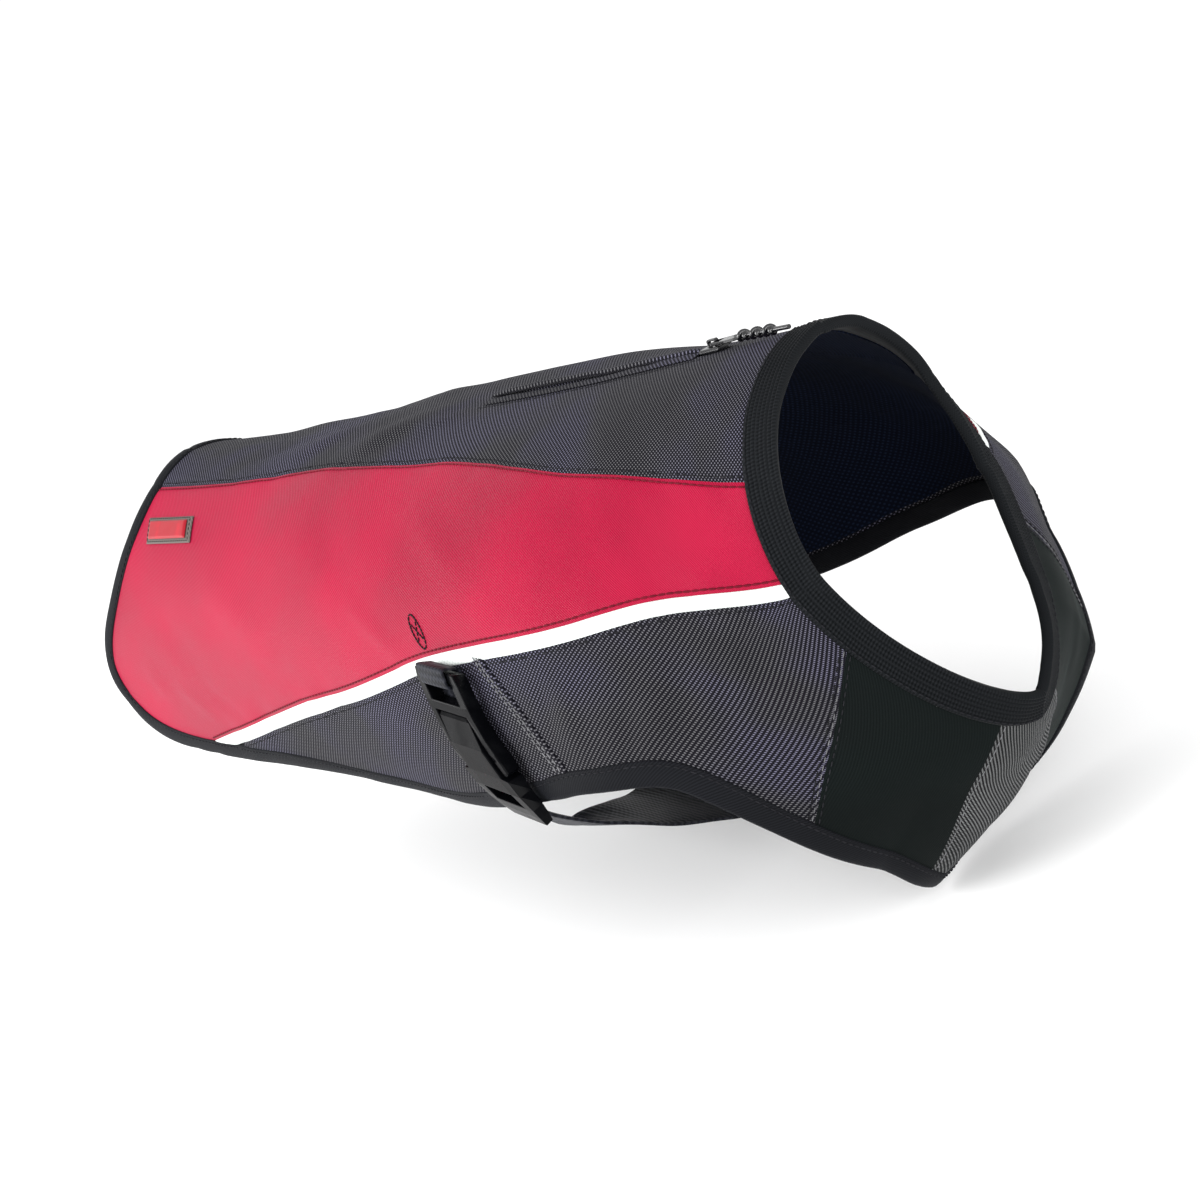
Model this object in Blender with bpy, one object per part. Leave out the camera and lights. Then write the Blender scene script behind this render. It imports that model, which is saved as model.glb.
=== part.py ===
"""Dog jacket, closed and filled out: a saddle of woven panels over the back and
sides, a chest band that closes round the neck, and a belly strap with a
side-release buckle.

The jacket is a bent tube. Its rings are worked out from the table RINGS, one
row for each sixth of the way from the rear hem to the neck rim. A place on the
tube is (along, around): along runs from 0 at the hem to 1 at the neck rim, and
around is in degrees, 0 on the spine, 180 under the belly, negative on the
dog's right side. Every cloth piece is a grid of such places, given its
thickness along the surface's normal.

Sizes in the tables are millimetres; X points to the head, Y to the dog's left
side and Z up, with the origin on the inner face of the back.
"""

import bpy
import numpy as np
from math import cos, pi, radians, sin

MM = 0.001

# ---------------------------------------------------------------- driving sizes

GAP = 0.3                    # between pieces that meet
SHELL = 1.2                  # woven outer cloth
LINING = 0.9                 # mesh lining under it
STRETCH = 1.8                # single stretch cloth of the shoulders
CHEST = 1.8                  # bonded cloth of the chest
BINDING_WIDTH = 8.0          # folded tape on the hem and the leg cuts
BINDING_THICK = 3.4
NECK_WIDTH = 11.5            # ribbed elastic round the neck
NECK_THICK = 3.2
NECK_RIBS = 8
RIB_HEIGHT = 0.45
STRIP_RAISE = 0.5            # reflective strip stands proud of the panels
WEBBING_WIDTH = 20.0
WEBBING_THICK = 1.5

# one ring of the tube: its highest and lowest point, half its width, how much
# wider its upper half is, how far its sides lean forward, and how round the
# lower half is (2 is round, less is keeled)
RING_COLUMNS = ("back_x", "back_z", "belly_x", "belly_z", "half_width",
                "upper_share", "side_lean", "lower_round")
RINGS = (
    (-215.5, 4.8, -245.5, -171.4, 64.5, -0.03, -3.5, 2.12),
    (-138.0, 1.1, -142.5, -155.4, 73.5, -0.02, 0.5, 2.10),
    (-64.5, 3.6, -46.5, -149.4, 84.5, 0.00, 4.5, 2.08),
    (2.0, 2.4, 48.5, -159.9, 96.0, 0.00, 9.0, 2.04),
    (66.0, 3.6, 145.5, -177.1, 104.0, 0.00, 17.0, 2.04),
    (121.5, 5.3, 190.5, -139.9, 71.7, 0.02, 2.0, 1.91),
    (173.0, 7.6, 206.5, -115.9, 41.0, 0.06, -12.0, 1.56),
)
UPPER_ROUND = 1.94

# the jacket's edge, from the spine at the hem, down the flank, past the strap,
# over the leg cut, to the middle of the chest
OUTLINE_COLUMNS = ("along", "around")
OUTLINE = (
    (0.000, 0.0),
    (0.004, 31.0),
    (-0.014, 57.0),
    (-0.030, 79.0),
    (0.014, 97.5),
    (0.104, 108.3),
    (0.220, 115.0),
    (0.320, 121.0),
    (0.420, 119.5),
    (0.504, 112.0),
    (0.575, 101.0),
    (0.648, 94.0),
    (0.720, 99.5),
    (0.745, 120.0),
    (0.735, 146.0),
    (0.695, 166.0),
    (0.675, 180.0),
)

# seams that run the length of the jacket: degrees from the spine at each third
BACK_SEAM = (22.3, 23.1, 29.0, 62.2)          # back panel to side panel
STRIP_SEAM = (110.5, 89.3, 62.8, 90.5)        # side panel to reflective strip
STRIP_DEGREES = (4.2, 3.9, 2.9, 4.6)          # the strip's own width

# seams that run down from the strip or the neck to the leg cut
PLEAT_COLUMNS = ("along", "around")
PLEAT = ((0.605, 66.5), (0.629, 76.5), (0.643, 88.4))   # the flank's folded edge
PLEAT_BAND = (8.0, 18.0)     # width of the folded band at its top and foot
PLEAT_RAISE = 1.0
CORNER = 5.0                 # where the flank starts, from the strip's end
SHOULDER_TOP = 113.0         # around, at the neck seam
SHOULDER_FOOT = (0.769, 126.0)
CHEST_TOP = 160.0
CHEST_FOOT = (0.735, 160.5)

# zip in the middle of the back, and the slot it sits in
ZIP_START = 0.515            # along
ZIP_END = 0.862
SEAM_STEPS = (10, 8, 3)     # grid rows behind, along and ahead of the zip
SLOT_HALF = 2.4
TAPE_HALF = 7.5
COIL_HALF = 1.7
COIL_RISE = 0.9
LIP_WIDTH = 4.4
SLIDER_LENGTH = 9.0
SLIDER_TOP = 1.8
BAR_X = 0.6                  # the pull tab's bar, ahead of the slider's middle
BAR_Z = 2.6
ARCH_CLEAR = 3.8             # from the bar to the tab's plate
PULL_LENGTH = 13.0
PULL_THICK = 1.0
CORD_LENGTH = 27.0           # the knotted cord on the tab
CORD_COLUMNS = ("share", "radius")
CORD_LUMPS = ((0.0, 0.9), (0.06, 1.5), (0.16, 2.3), (0.27, 1.6), (0.38, 2.2), (0.50, 1.5),
              (0.62, 2.1), (0.74, 1.4), (0.86, 1.6), (1.0, 0.7))

# buckle and strap on the right flank
STRAP_ALONG = (0.559, 0.564)  # the webbing's middle at the strip and at the edge
BUCKLE_TOP = (0.565, 70.5)   # place under the buckle's top end
BUCKLE_FOOT = (0.581, 101.0)  # place under its lower end
BUCKLE_LENGTH = 55.0
BUCKLE_LIFT = 2.2            # its underside over the cloth
BUCKLE_THICK = 5.0
BAND_FOOT = 92.0             # where the backing band ends, around
LOOP_HALF = 8.2

# the belly strap where it hangs free: webbing at the buckle, a wider band under
# the belly, its front and rear edge at each distance from the middle
STRAP_COLUMNS = ("y", "front_x", "front_z", "rear_x", "rear_z")
STRAP_ROUTE = (
    (-88.0, 91.0, -115.0, 69.7, -116.0),
    (-68.0, 93.5, -127.0, 64.8, -121.5),
    (-45.0, 92.0, -139.2, 50.0, -130.5),
    (-22.0, 90.0, -148.0, 39.0, -136.5),
    (5.0, 84.0, -152.0, 31.0, -139.0),
    (35.0, 72.0, -150.0, 22.0, -138.0),
    (62.0, 55.0, -143.0, 10.0, -133.5),
    (80.0, 42.5, -133.0, -1.0, -126.0),
)
STRAP_FAR = (0.400, 0.482)   # where its edges lie along the left flank
STRAP_FAR_TOP = 94.0         # how high it is sewn on, around

# label on the right side panel: its corners as (along, around)
LABEL_REAR = 0.034
LABEL_FRONT = 0.118
LABEL_TOP = 34.6
LABEL_FOOT = 43.2

# soft folds, raised out of the cloth: from one place to another
FOLD_COLUMNS = ("along_a", "around_a", "along_b", "around_b", "width", "height")
FOLDS = (
    (0.36, 15.5, 0.74, 18.5, 13.0, 3.6),
    (0.33, -21.0, 0.47, -3.0, 9.0, 1.8),
    (0.18, -19.0, 0.38, -4.0, 9.0, 1.6),
    (0.79, -80.0, 0.72, -93.0, 7.0, 1.2),
    (0.85, -86.0, 0.75, -101.0, 7.0, 1.2),
    (0.30, 24.0, 0.42, 9.0, 9.0, 1.4),
    (0.12, 20.0, 0.26, 6.0, 9.0, 1.4),
    (0.78, 82.0, 0.71, 95.0, 7.0, 1.2),
)

# how far the cloth flares (+) or tucks in (-) along the leg cut, on each side
FLARE_COLUMNS = ("around", "left", "right")
FLARE = (
    (88.0, 0.0, 0.0),
    (105.0, -3.2, 3.0),
    (120.0, 0.0, 1.0),
    (133.0, 4.7, 0.2),
    (148.0, -1.7, -1.8),
    (165.0, -8.7, 1.0),
    (180.0, -6.5, -6.5),
)
FLARE_REACH = 28.0


# ------------------------------------------------------------ the tube's surface

def smooth(rows, where):
    """Catmull-Rom curve through evenly spaced rows, where = 0 .. 1."""
    rows = np.asarray(rows, float)
    if rows.ndim == 1:
        rows = rows[:, None]
    count = len(rows)
    place = np.clip(np.asarray(where, float), -0.3, 1.3) * (count - 1)
    index = np.clip(np.floor(place).astype(int), 0, count - 2)
    t = (place - index)[..., None]
    padded = np.vstack([2 * rows[0] - rows[1], rows, 2 * rows[-1] - rows[-2]])
    a, b, c, d = (padded[index + k] for k in range(4))
    return b + 0.5 * t * ((c - a) + t * ((2 * a - 5 * b + 4 * c - d) + t * (3 * (b - c) + d - a)))


def surface(along, around):
    """Points of the tube's outer face, in millimetres."""
    along, around = np.broadcast_arrays(np.asarray(along, float), np.asarray(around, float))
    top_x, top_z, low_x, low_z, half, share, lean, keel = np.moveaxis(smooth(RINGS, along), -1, 0)
    angle = np.radians(around)
    up, out = np.cos(angle), np.abs(np.sin(angle))
    power = np.where(up > 0, UPPER_ROUND, np.maximum(keel, 1.2))
    height = np.sign(up) * np.abs(up) ** (2 / power)
    side = np.sign(np.sin(angle)) * out ** (2 / power)
    x = (top_x + low_x) / 2 + (top_x - low_x) / 2 * height + lean * out ** 2
    z = (top_z + low_z) / 2 + (top_z - low_z) / 2 * height
    return np.stack([x, side * half * (1 + share * up), z], -1)


def slopes(along, around):
    """How the surface moves per unit along and per degree around."""
    da, dr = 0.004, 0.8
    by_along = (surface(along + da, around) - surface(along - da, around)) / (2 * da)
    by_around = (surface(along, around + dr) - surface(along, around - dr)) / (2 * dr)
    return by_along, by_around


def normals(along, around):
    by_along, by_around = slopes(along, around)
    n = np.cross(by_along, by_around)
    return n / np.linalg.norm(n, axis=-1, keepdims=True)


def relief(along, around):
    """Height of the soft folds and of the leg cuts' flare above the tube."""
    turn = (np.asarray(around, float) + 180) % 360 - 180
    place = np.stack([np.asarray(along) * 430.0, turn * 1.65], -1)
    total = np.zeros(place.shape[:-1])
    for a0, r0, a1, r1, width, height in FOLDS:
        start = np.array([a0 * 430.0, r0 * 1.65])
        run = np.array([a1 * 430.0, r1 * 1.65]) - start
        t = np.clip(((place - start) @ run) / (run @ run), 0, 1)
        off = np.linalg.norm(place - start - t[..., None] * run, axis=-1)
        total = total + height * np.sin(pi * t) * np.exp(-(off / width) ** 2)
    cut = np.array(OUTLINE[11:])
    inside = (np.asarray(along) - np.interp(np.abs(turn), cut[:, 1], cut[:, 0])) * 300.0
    table = np.array(FLARE)
    flare = np.where(turn >= 0, np.interp(turn, table[:, 0], table[:, 1]),
                     np.interp(-turn, table[:, 0], table[:, 2]))
    reach = np.exp(-np.maximum(inside, 0) / FLARE_REACH) * np.clip((inside + 30) / 18, 0, 1)
    return total + flare * reach


def lifted(grid, height=0.0):
    """Points at a height above the cloth's outer face, at a grid of places."""
    grid = np.asarray(grid, float)
    along, around = grid[..., 0], grid[..., 1]
    height = relief(along, around) + np.asarray(height, float)
    return surface(along, around) + normals(along, around) * height[..., None]


# ---------------------------------------------------------- edges of the pattern

def outline_curve():
    """The edge as dense (along, around) rows with the length up to each."""
    rows = smooth(OUTLINE, np.linspace(0, 1, 1201))
    points = surface(rows[:, 0], rows[:, 1])
    length = np.concatenate([[0], np.cumsum(np.linalg.norm(np.diff(points, axis=0), axis=1))])
    return rows, length


EDGE_ROWS, EDGE_LENGTH = outline_curve()
EDGE_TOTAL = EDGE_LENGTH[-1]


def edge(distance, inset=0.0):
    """(along, around) on the left edge, distance mm from the spine at the hem,
    and inset mm in from the edge, measured on the surface."""
    distance = np.clip(np.asarray(distance, float), 0, EDGE_TOTAL)
    place = np.stack([np.interp(distance, EDGE_LENGTH, EDGE_ROWS[:, k]) for k in (0, 1)], -1)
    span = 3.0
    a = np.clip(distance - span, 0, EDGE_TOTAL)
    b = np.clip(distance + span, 0, EDGE_TOTAL)
    step = np.stack([np.interp(b, EDGE_LENGTH, EDGE_ROWS[:, k])
                     - np.interp(a, EDGE_LENGTH, EDGE_ROWS[:, k]) for k in (0, 1)], -1)
    by_along, by_around = slopes(place[..., 0], place[..., 1])
    tangent = by_along * step[..., :1] + by_around * step[..., 1:]
    tangent /= np.linalg.norm(tangent, axis=-1, keepdims=True)
    inward = np.cross(tangent, normals(place[..., 0], place[..., 1]))
    # express the inward direction in (along, around)
    aa = (by_along ** 2).sum(-1)
    bb = (by_around ** 2).sum(-1)
    ab = (by_along * by_around).sum(-1)
    pa = (inward * by_along).sum(-1)
    pb = (inward * by_around).sum(-1)
    det = aa * bb - ab * ab
    move = np.stack([(pa * bb - pb * ab) / det, (pb * aa - pa * ab) / det], -1)
    inset = np.broadcast_to(np.asarray(inset, float), distance.shape)[..., None]
    place = place + move * inset
    place[..., 1] = np.clip(place[..., 1], 0, 180)
    return place


def neck_along(around, inset):
    """Where the neck tape's inner edge lies: inset mm back from the rim."""
    by_along, _ = slopes(np.ones_like(around, dtype=float), around)
    return 1.0 - inset / np.linalg.norm(by_along, axis=-1)


def back_seam(along):
    return smooth(BACK_SEAM, along)[..., 0]


def strip_top(along):
    return smooth(STRIP_SEAM, along)[..., 0]


def strip_foot(along):
    return strip_top(along) + smooth(STRIP_DEGREES, along)[..., 0]


def hem_crossing(seam, inset):
    """Edge distance where a lengthwise seam meets the edge's inset line."""
    stops = np.linspace(0, EDGE_TOTAL * 0.45, 600)
    rows = edge(stops, inset)
    off = rows[:, 1] - seam(rows[:, 0])
    k = int(np.argmax(off > 0))
    return float(np.interp(0.0, off[k - 1:k + 1], stops[k - 1:k + 1]))


def nearest_stop(place, inset):
    """Edge distance of the inset line's point nearest to a place."""
    stops = np.linspace(0, EDGE_TOTAL, 1400)
    off = np.linalg.norm(lifted(edge(stops, inset)) - lifted(place), axis=-1)
    return float(stops[np.argmin(off)])


def seam_rows(seam, first, inset, steps):
    """Places on a lengthwise seam from the hem to the neck tape."""
    last = 0.96
    for _ in range(6):
        last = float(neck_along(seam(np.array([last])), inset)[0])
    back, middle, front = steps
    along = np.concatenate([
        np.linspace(first, ZIP_START, back + 1),
        np.linspace(ZIP_START, ZIP_END, middle + 1)[1:],
        np.linspace(ZIP_END, last, front + 1)[1:]])
    return np.stack([along, seam(along)], -1)


def sideways(rows, shift):
    """The rows moved around the tube by shift mm, + away from the spine."""
    _, by_around = slopes(rows[:, 0], rows[:, 1])
    moved = rows.copy()
    moved[:, 1] += shift / np.linalg.norm(by_around, axis=-1)
    return moved


def lengthways(rows, shift):
    """The rows moved along the tube by shift mm, + towards the neck."""
    by_along, _ = slopes(rows[:, 0], rows[:, 1])
    moved = rows.copy()
    moved[:, 0] += shift / np.linalg.norm(by_along, axis=-1)
    return moved


def neck_rows(stops, inset):
    stops = np.asarray(stops, float)
    return np.stack([neck_along(stops, inset), stops], -1)


def line(start, stop, count):
    t = np.linspace(0, 1, count)[:, None]
    return np.asarray(start, float) * (1 - t) + np.asarray(stop, float) * t


def patch(low, high, left, right):
    """Places between four edges: low and high run one way from left to right,
    left and right the other way. The ends' own curves fade out quickly."""
    u = np.linspace(0, 1, len(low))[:, None, None]
    v = np.linspace(0, 1, len(left))[None, :, None]
    ruled = (1 - v) * low[:, None] + v * high[:, None]
    from_left = left[None] - (1 - v) * left[0] - v * left[-1]
    from_right = right[None] - (1 - v) * right[0] - v * right[-1]
    return ruled + (1 - u) ** 3 * from_left + u ** 3 * from_right


# ------------------------------------------------------------- solids and colours

def material(name, colour, roughness, metallic=0.0):
    mat = bpy.data.materials.new(name)
    mat.use_nodes = True
    shader = mat.node_tree.nodes["Principled BSDF"]
    shader.inputs["Base Color"].default_value = (*colour, 1.0)
    shader.inputs["Roughness"].default_value = roughness
    shader.inputs["Metallic"].default_value = metallic
    return mat


def solid(name, points, faces, mat, origin=(0.0, 0.0, 0.0)):
    """A mesh object from points in millimetres, with its own origin."""
    mesh = bpy.data.meshes.new(name)
    points = np.asarray(points, float) - np.asarray(origin, float)
    mesh.from_pydata([tuple(float(c) * MM for c in p) for p in points], [], faces)
    mesh.validate()
    mesh.materials.append(mat)
    thing = bpy.data.objects.new(name, mesh)
    thing.location = [float(c) * MM for c in origin]
    bpy.context.scene.collection.objects.link(thing)
    mesh.shade_smooth()
    mesh.set_sharp_from_angle(angle=radians(35))
    return thing


def slab(name, top, under, mat, left_out=None, origin=(0.0, 0.0, 0.0)):
    """A closed body between two equal grids of points. left_out(i, j) skips
    cells, which leaves a hole."""
    rows, columns = top.shape[:2]
    count = rows * columns
    faces = []
    rim = {}
    for i in range(rows - 1):
        for j in range(columns - 1):
            if left_out and left_out(i, j):
                continue
            loop = (i * columns + j, (i + 1) * columns + j,
                    (i + 1) * columns + j + 1, i * columns + j + 1)
            for corner in (loop[:3], (loop[0], loop[2], loop[3])):
                faces.append(corner)
                faces.append(tuple(count + k for k in reversed(corner)))
            for a, b in zip(loop, loop[1:] + loop[:1]):
                if (b, a) in rim:
                    del rim[(b, a)]
                else:
                    rim[(a, b)] = True
    for a, b in rim:
        faces.append((b, a, count + a, count + b))
    points = np.vstack([top.reshape(-1, 3), under.reshape(-1, 3)])
    used = sorted({k for face in faces for k in face})
    index = {k: n for n, k in enumerate(used)}
    faces = [tuple(index[k] for k in face) for face in faces]
    if signed_volume(points[used], faces) < 0:
        faces = [tuple(reversed(face)) for face in faces]
    return solid(name, points[used], faces, mat, origin)


def wall(name, grid, outer, inner, mat, left_out=None):
    """A cloth wall between two heights over a grid of places."""
    return slab(name, lifted(grid, outer), lifted(grid, inner), mat, left_out)


def signed_volume(points, faces):
    total = 0.0
    for face in faces:
        for k in range(1, len(face) - 1):
            a, b, c = points[face[0]], points[face[k]], points[face[k + 1]]
            total += float(np.dot(a, np.cross(b, c)))
    return total / 6


def loft(name, rings, mat, closed=False, origin=(0.0, 0.0, 0.0)):
    """A solid through equal rings of points; closed joins the last to the first."""
    rings = [np.asarray(ring, float) for ring in rings]
    size = len(rings[0])
    count = len(rings)
    faces = []
    for i in range(count if closed else count - 1):
        j = (i + 1) % count
        for k in range(size):
            m = (k + 1) % size
            faces.append((i * size + k, i * size + m, j * size + m, j * size + k))
    if not closed:
        faces.append(tuple(reversed(range(size))))
        faces.append(tuple((count - 1) * size + k for k in range(size)))
    points = np.vstack(rings)
    if signed_volume(points, faces) < 0:
        faces = [tuple(reversed(face)) for face in faces]
    return solid(name, points, faces, mat, origin)


def mirrored(grid):
    """The same places on the dog's right side."""
    other = grid.copy()
    other[..., 1] = -other[..., 1]
    return other


SIDES = (("left", 1), ("right", -1))


def on_side(grid, sign):
    return grid if sign > 0 else mirrored(grid)


# ---------------------------------------------------------------- pattern layout

class Pattern:
    """Seams and edge stops of the left half; panels and tapes share them."""

    def __init__(self):
        self.inset = BINDING_WIDTH + GAP
        self.neck_inset = NECK_WIDTH + GAP
        crossing = [hem_crossing(seam, self.inset) for seam in (back_seam, strip_top, strip_foot)]
        first = [float(edge(stop, self.inset)[0]) for stop in crossing]
        self.back, self.top, self.foot = (
            seam_rows(seam, start, self.neck_inset, SEAM_STEPS)
            for seam, start in zip((back_seam, strip_top, strip_foot), first))
        self.half_back = self.back_columns(crossing[0])
        self.pleat = smooth(PLEAT, np.linspace(0, 1, 9))
        self.pleat[0, 1] = strip_foot(self.pleat[0, 0])
        foot = nearest_stop(self.pleat[-1], self.inset)
        self.pleat[-1] = edge(foot, self.inset)
        shoulder = nearest_stop(SHOULDER_FOOT, self.inset)
        chest = nearest_stop(CHEST_FOOT, self.inset)
        self.stops = {
            "back": self.back_stops,
            "side": np.linspace(crossing[0], crossing[1], 11),
            "strip": np.array([crossing[1], crossing[2]]),
            "rear": np.array([crossing[2], foot]),
            "front": np.linspace(foot, shoulder, 16),
            "shoulder": np.linspace(shoulder, chest, 9),
            "chest": np.linspace(chest, EDGE_TOTAL, 5),
        }
        a, b, c = (rows[-1, 1] for rows in (self.back, self.top, self.foot))
        self.neck = {
            "back": self.half_back[-1, :, 1],
            "side": np.linspace(a, b, len(self.stops["side"])),
            "strip": np.array([b, c]),
            "front": np.linspace(c, SHOULDER_TOP, 4),
            "shoulder": np.linspace(SHOULDER_TOP, CHEST_TOP, 9),
            "chest": np.linspace(CHEST_TOP, 180.0, 5),
        }
        self.shoulder = line((0, SHOULDER_TOP), edge(shoulder, self.inset), 9)
        self.shoulder[0] = neck_rows([SHOULDER_TOP], self.neck_inset)[0]
        self.shoulder = line(self.shoulder[0], self.shoulder[-1], 9)
        self.chest = line(neck_rows([CHEST_TOP], self.neck_inset)[0], edge(chest, self.inset), 9)
        self.strap_corner = nearest_stop((0.504, 112.0), self.inset)

    def back_columns(self, corner):
        """Half the back panel's places, with columns at both slots' sides."""
        seam = sideways(self.back, -GAP / 2)
        dense = np.linspace(0, corner, 200)
        hem = edge(dense, self.inset)
        per_degree = np.linalg.norm(slopes(seam[:, 0], 1.0)[1], axis=-1)
        slot, wide = SLOT_HALF / per_degree, (TAPE_HALF + 0.8) / per_degree
        rows = np.linspace(1, 0, len(seam))
        columns = []
        for around in [slot] + [
                wide + (seam[:, 1] - wide) * share for share in (0.0, 0.34, 0.67, 1.0)]:
            hem_shift = np.interp(around[0], hem[:, 1], hem[:, 0]) - seam[0, 0]
            neck_shift = neck_rows([around[-1]], self.neck_inset)[0, 0] - seam[-1, 0]
            ends = np.clip(4 * rows - 3, 0, 1) * hem_shift
            ends = ends + np.clip(1 - 7 * rows, 0, 1) * neck_shift
            columns.append(np.stack([seam[:, 0] + ends, around], -1))
        self.back_stops = np.array([np.interp(c[0, 1], hem[:, 1], dense) for c in columns])
        return np.stack(columns, 1)

    def edge_stops(self):
        """Every stop of the edge, in order, each once."""
        return np.unique(np.round(np.concatenate(list(self.stops.values())), 6))

    def neck_stops(self):
        half = np.unique(np.round(np.concatenate(list(self.neck.values())), 6))
        return np.concatenate([-half[::-1][1:], half])


# ------------------------------------------------------------------- the pieces

def make_side(pattern, mats):
    half = GAP / 2
    low = sideways(pattern.back, half)
    high = sideways(pattern.top, -half)
    left = edge(pattern.stops["side"], pattern.inset)
    right = neck_rows(pattern.neck["side"], pattern.neck_inset)
    grid = patch(low, high, left, right)
    strip = np.stack([sideways(pattern.top, half), sideways(pattern.foot, -half)], 1)
    both = np.concatenate([grid, strip[:, 1:]], 1)
    for name, sign in SIDES:
        wall("side_panel_" + name, on_side(grid, sign), 0.0, -SHELL, mats["red"])
        wall("reflective_strip_" + name, on_side(strip, sign), STRIP_RAISE, -SHELL, mats["strip"])
        wall("lining_side_" + name, on_side(both, sign), -SHELL - GAP, -SHELL - GAP - LINING,
             mats["lining"])


def make_back(pattern, mats):
    half = pattern.half_back
    grid = np.concatenate([mirrored(half)[:, ::-1], half], 1)
    middle = half.shape[1] - 1
    behind = SEAM_STEPS[0]
    ahead = behind + SEAM_STEPS[1]
    wall("back_panel", grid, 0.0, -SHELL, mats["grey"],
         lambda i, j: j == middle and behind <= i < ahead)
    wall("lining_back", grid, -SHELL - GAP, -SHELL - GAP - LINING, mats["lining"],
         lambda i, j: abs(j - middle) < 2 and behind - 1 <= i < ahead + 1)


def make_flanks(pattern, mats):
    half = GAP / 2
    seam = sideways(pattern.foot, half)
    pleat = pattern.pleat
    top_stop = pleat[0, 0]
    columns = len(pleat)

    def on_seam(along):
        return np.stack([along, np.interp(along, seam[:, 0], seam[:, 1])], -1)

    per_mm = 1 / np.linalg.norm(slopes(top_stop, pleat[0, 1])[0])
    band = np.array([PLEAT_BAND[0] + 0.8, PLEAT_BAND[0], half]) * per_mm
    tip = seam[0, 0] + CORNER * per_mm
    before = seam[(seam[:, 0] > tip + 0.01) & (seam[:, 0] < top_stop - band[0] - 0.01)]
    low = np.vstack([on_seam(np.array([tip])), before, on_seam(top_stop - band)])
    first, last = pattern.stops["rear"]
    first += CORNER
    step = last - PLEAT_BAND[1]
    rear_stops = np.concatenate([
        np.linspace(first, step - 6.0, len(before) + 1), [step - 1.0, step, last - half]])
    pattern.stops["rear"] = rear_stops
    high = edge(rear_stops, pattern.inset)
    right = lengthways(pleat, -half)
    right[0], right[-1] = low[-1], high[-1]
    left = line(low[0], high[0], columns)
    rear = patch(low, high, left, right)
    raised = np.zeros(rear.shape[:2])
    raised[-2:] = PLEAT_RAISE
    after = seam[seam[:, 0] > top_stop + 0.01]
    low = np.vstack([on_seam(np.array([top_stop + half * per_mm])), after])
    neck = neck_rows(pattern.neck["front"], pattern.neck_inset)
    right = np.vstack([neck[:-1], sideways(pattern.shoulder, -half)])
    right[0] = low[-1]
    front_stops = np.interp(np.linspace(0, 1, len(low)), np.linspace(0, 1, 16), pattern.stops["front"])
    front_stops[0] += half
    front_stops[-1] -= half
    pattern.stops["front"] = front_stops
    high = edge(front_stops, pattern.inset)
    right[-1] = high[-1]
    share = np.linspace(0, 1, len(right))
    left = np.stack([np.interp(share, np.linspace(0, 1, columns), pleat[:, k]) for k in (0, 1)], -1)
    left = lengthways(left, half)
    left[0], left[-1] = low[0], high[0]
    front = patch(low, high, left, right)
    for name, sign in SIDES:
        wall("rear_flank_" + name, on_side(rear, sign), raised, -SHELL, mats["grey"])
        wall("front_flank_" + name, on_side(front, sign), 0.0, -SHELL, mats["grey"])
        for part, grid in (("rear", rear), ("front", front)):
            wall("lining_" + part + "_" + name, on_side(grid, sign), -SHELL - GAP,
                 -SHELL - GAP - LINING, mats["lining"])


def make_chest(pattern, mats):
    half = GAP / 2
    seam_f = sideways(pattern.shoulder, half)[::-1]
    seam_g = sideways(pattern.chest, -half)[::-1]
    stops = pattern.stops["shoulder"].copy()
    stops[0] += half
    stops[-1] -= half
    pattern.stops["shoulder"] = stops
    left = edge(stops, pattern.inset)
    right = neck_rows(pattern.neck["shoulder"], pattern.neck_inset)
    seam_f[0], seam_g[0] = left[0], left[-1]
    shoulder = patch(seam_f, seam_g, left, right)
    for name, sign in SIDES:
        wall("shoulder_panel_" + name, on_side(shoulder, sign), 0.0, -STRETCH, mats["stretch"])
    stops = pattern.stops["chest"].copy()
    stops[0] += half
    pattern.stops["chest"] = stops
    foot = edge(stops, pattern.inset)
    neck = neck_rows(pattern.neck["chest"], pattern.neck_inset)
    seam = sideways(pattern.chest, half)[::-1]
    seam[0] = foot[0]

    def across(rows):
        other = rows[-2::-1].copy()
        other[:, 1] = 360 - other[:, 1]
        return np.vstack([rows, other])

    far = seam.copy()
    far[:, 1] = 360 - far[:, 1]
    wall("chest_panel", patch(seam, far, across(foot), across(neck)), 0.0, -CHEST, mats["grey"])


def make_neck_binding(pattern, mats):
    rib = NECK_WIDTH / NECK_RIBS
    section = []
    for n in range(2 * NECK_RIBS + 1):
        edge_soft = 0.6 if n in (0, 2 * NECK_RIBS) else 0.0
        section.append((n * rib / 2, 0.8 + (RIB_HEIGHT if n % 2 else 0.0) - edge_soft))
    section += [(NECK_WIDTH, 0.8 - NECK_THICK), (0.0, 0.8 - NECK_THICK)]
    rings = []
    for around in pattern.neck_stops():
        places = [(neck_along(np.array([around]), inset)[0], around) for inset, _ in section]
        rings.append(lifted(places, [high for _, high in section]))
    loft("neck_binding", rings, mats["elastic"], closed=True)


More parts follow.
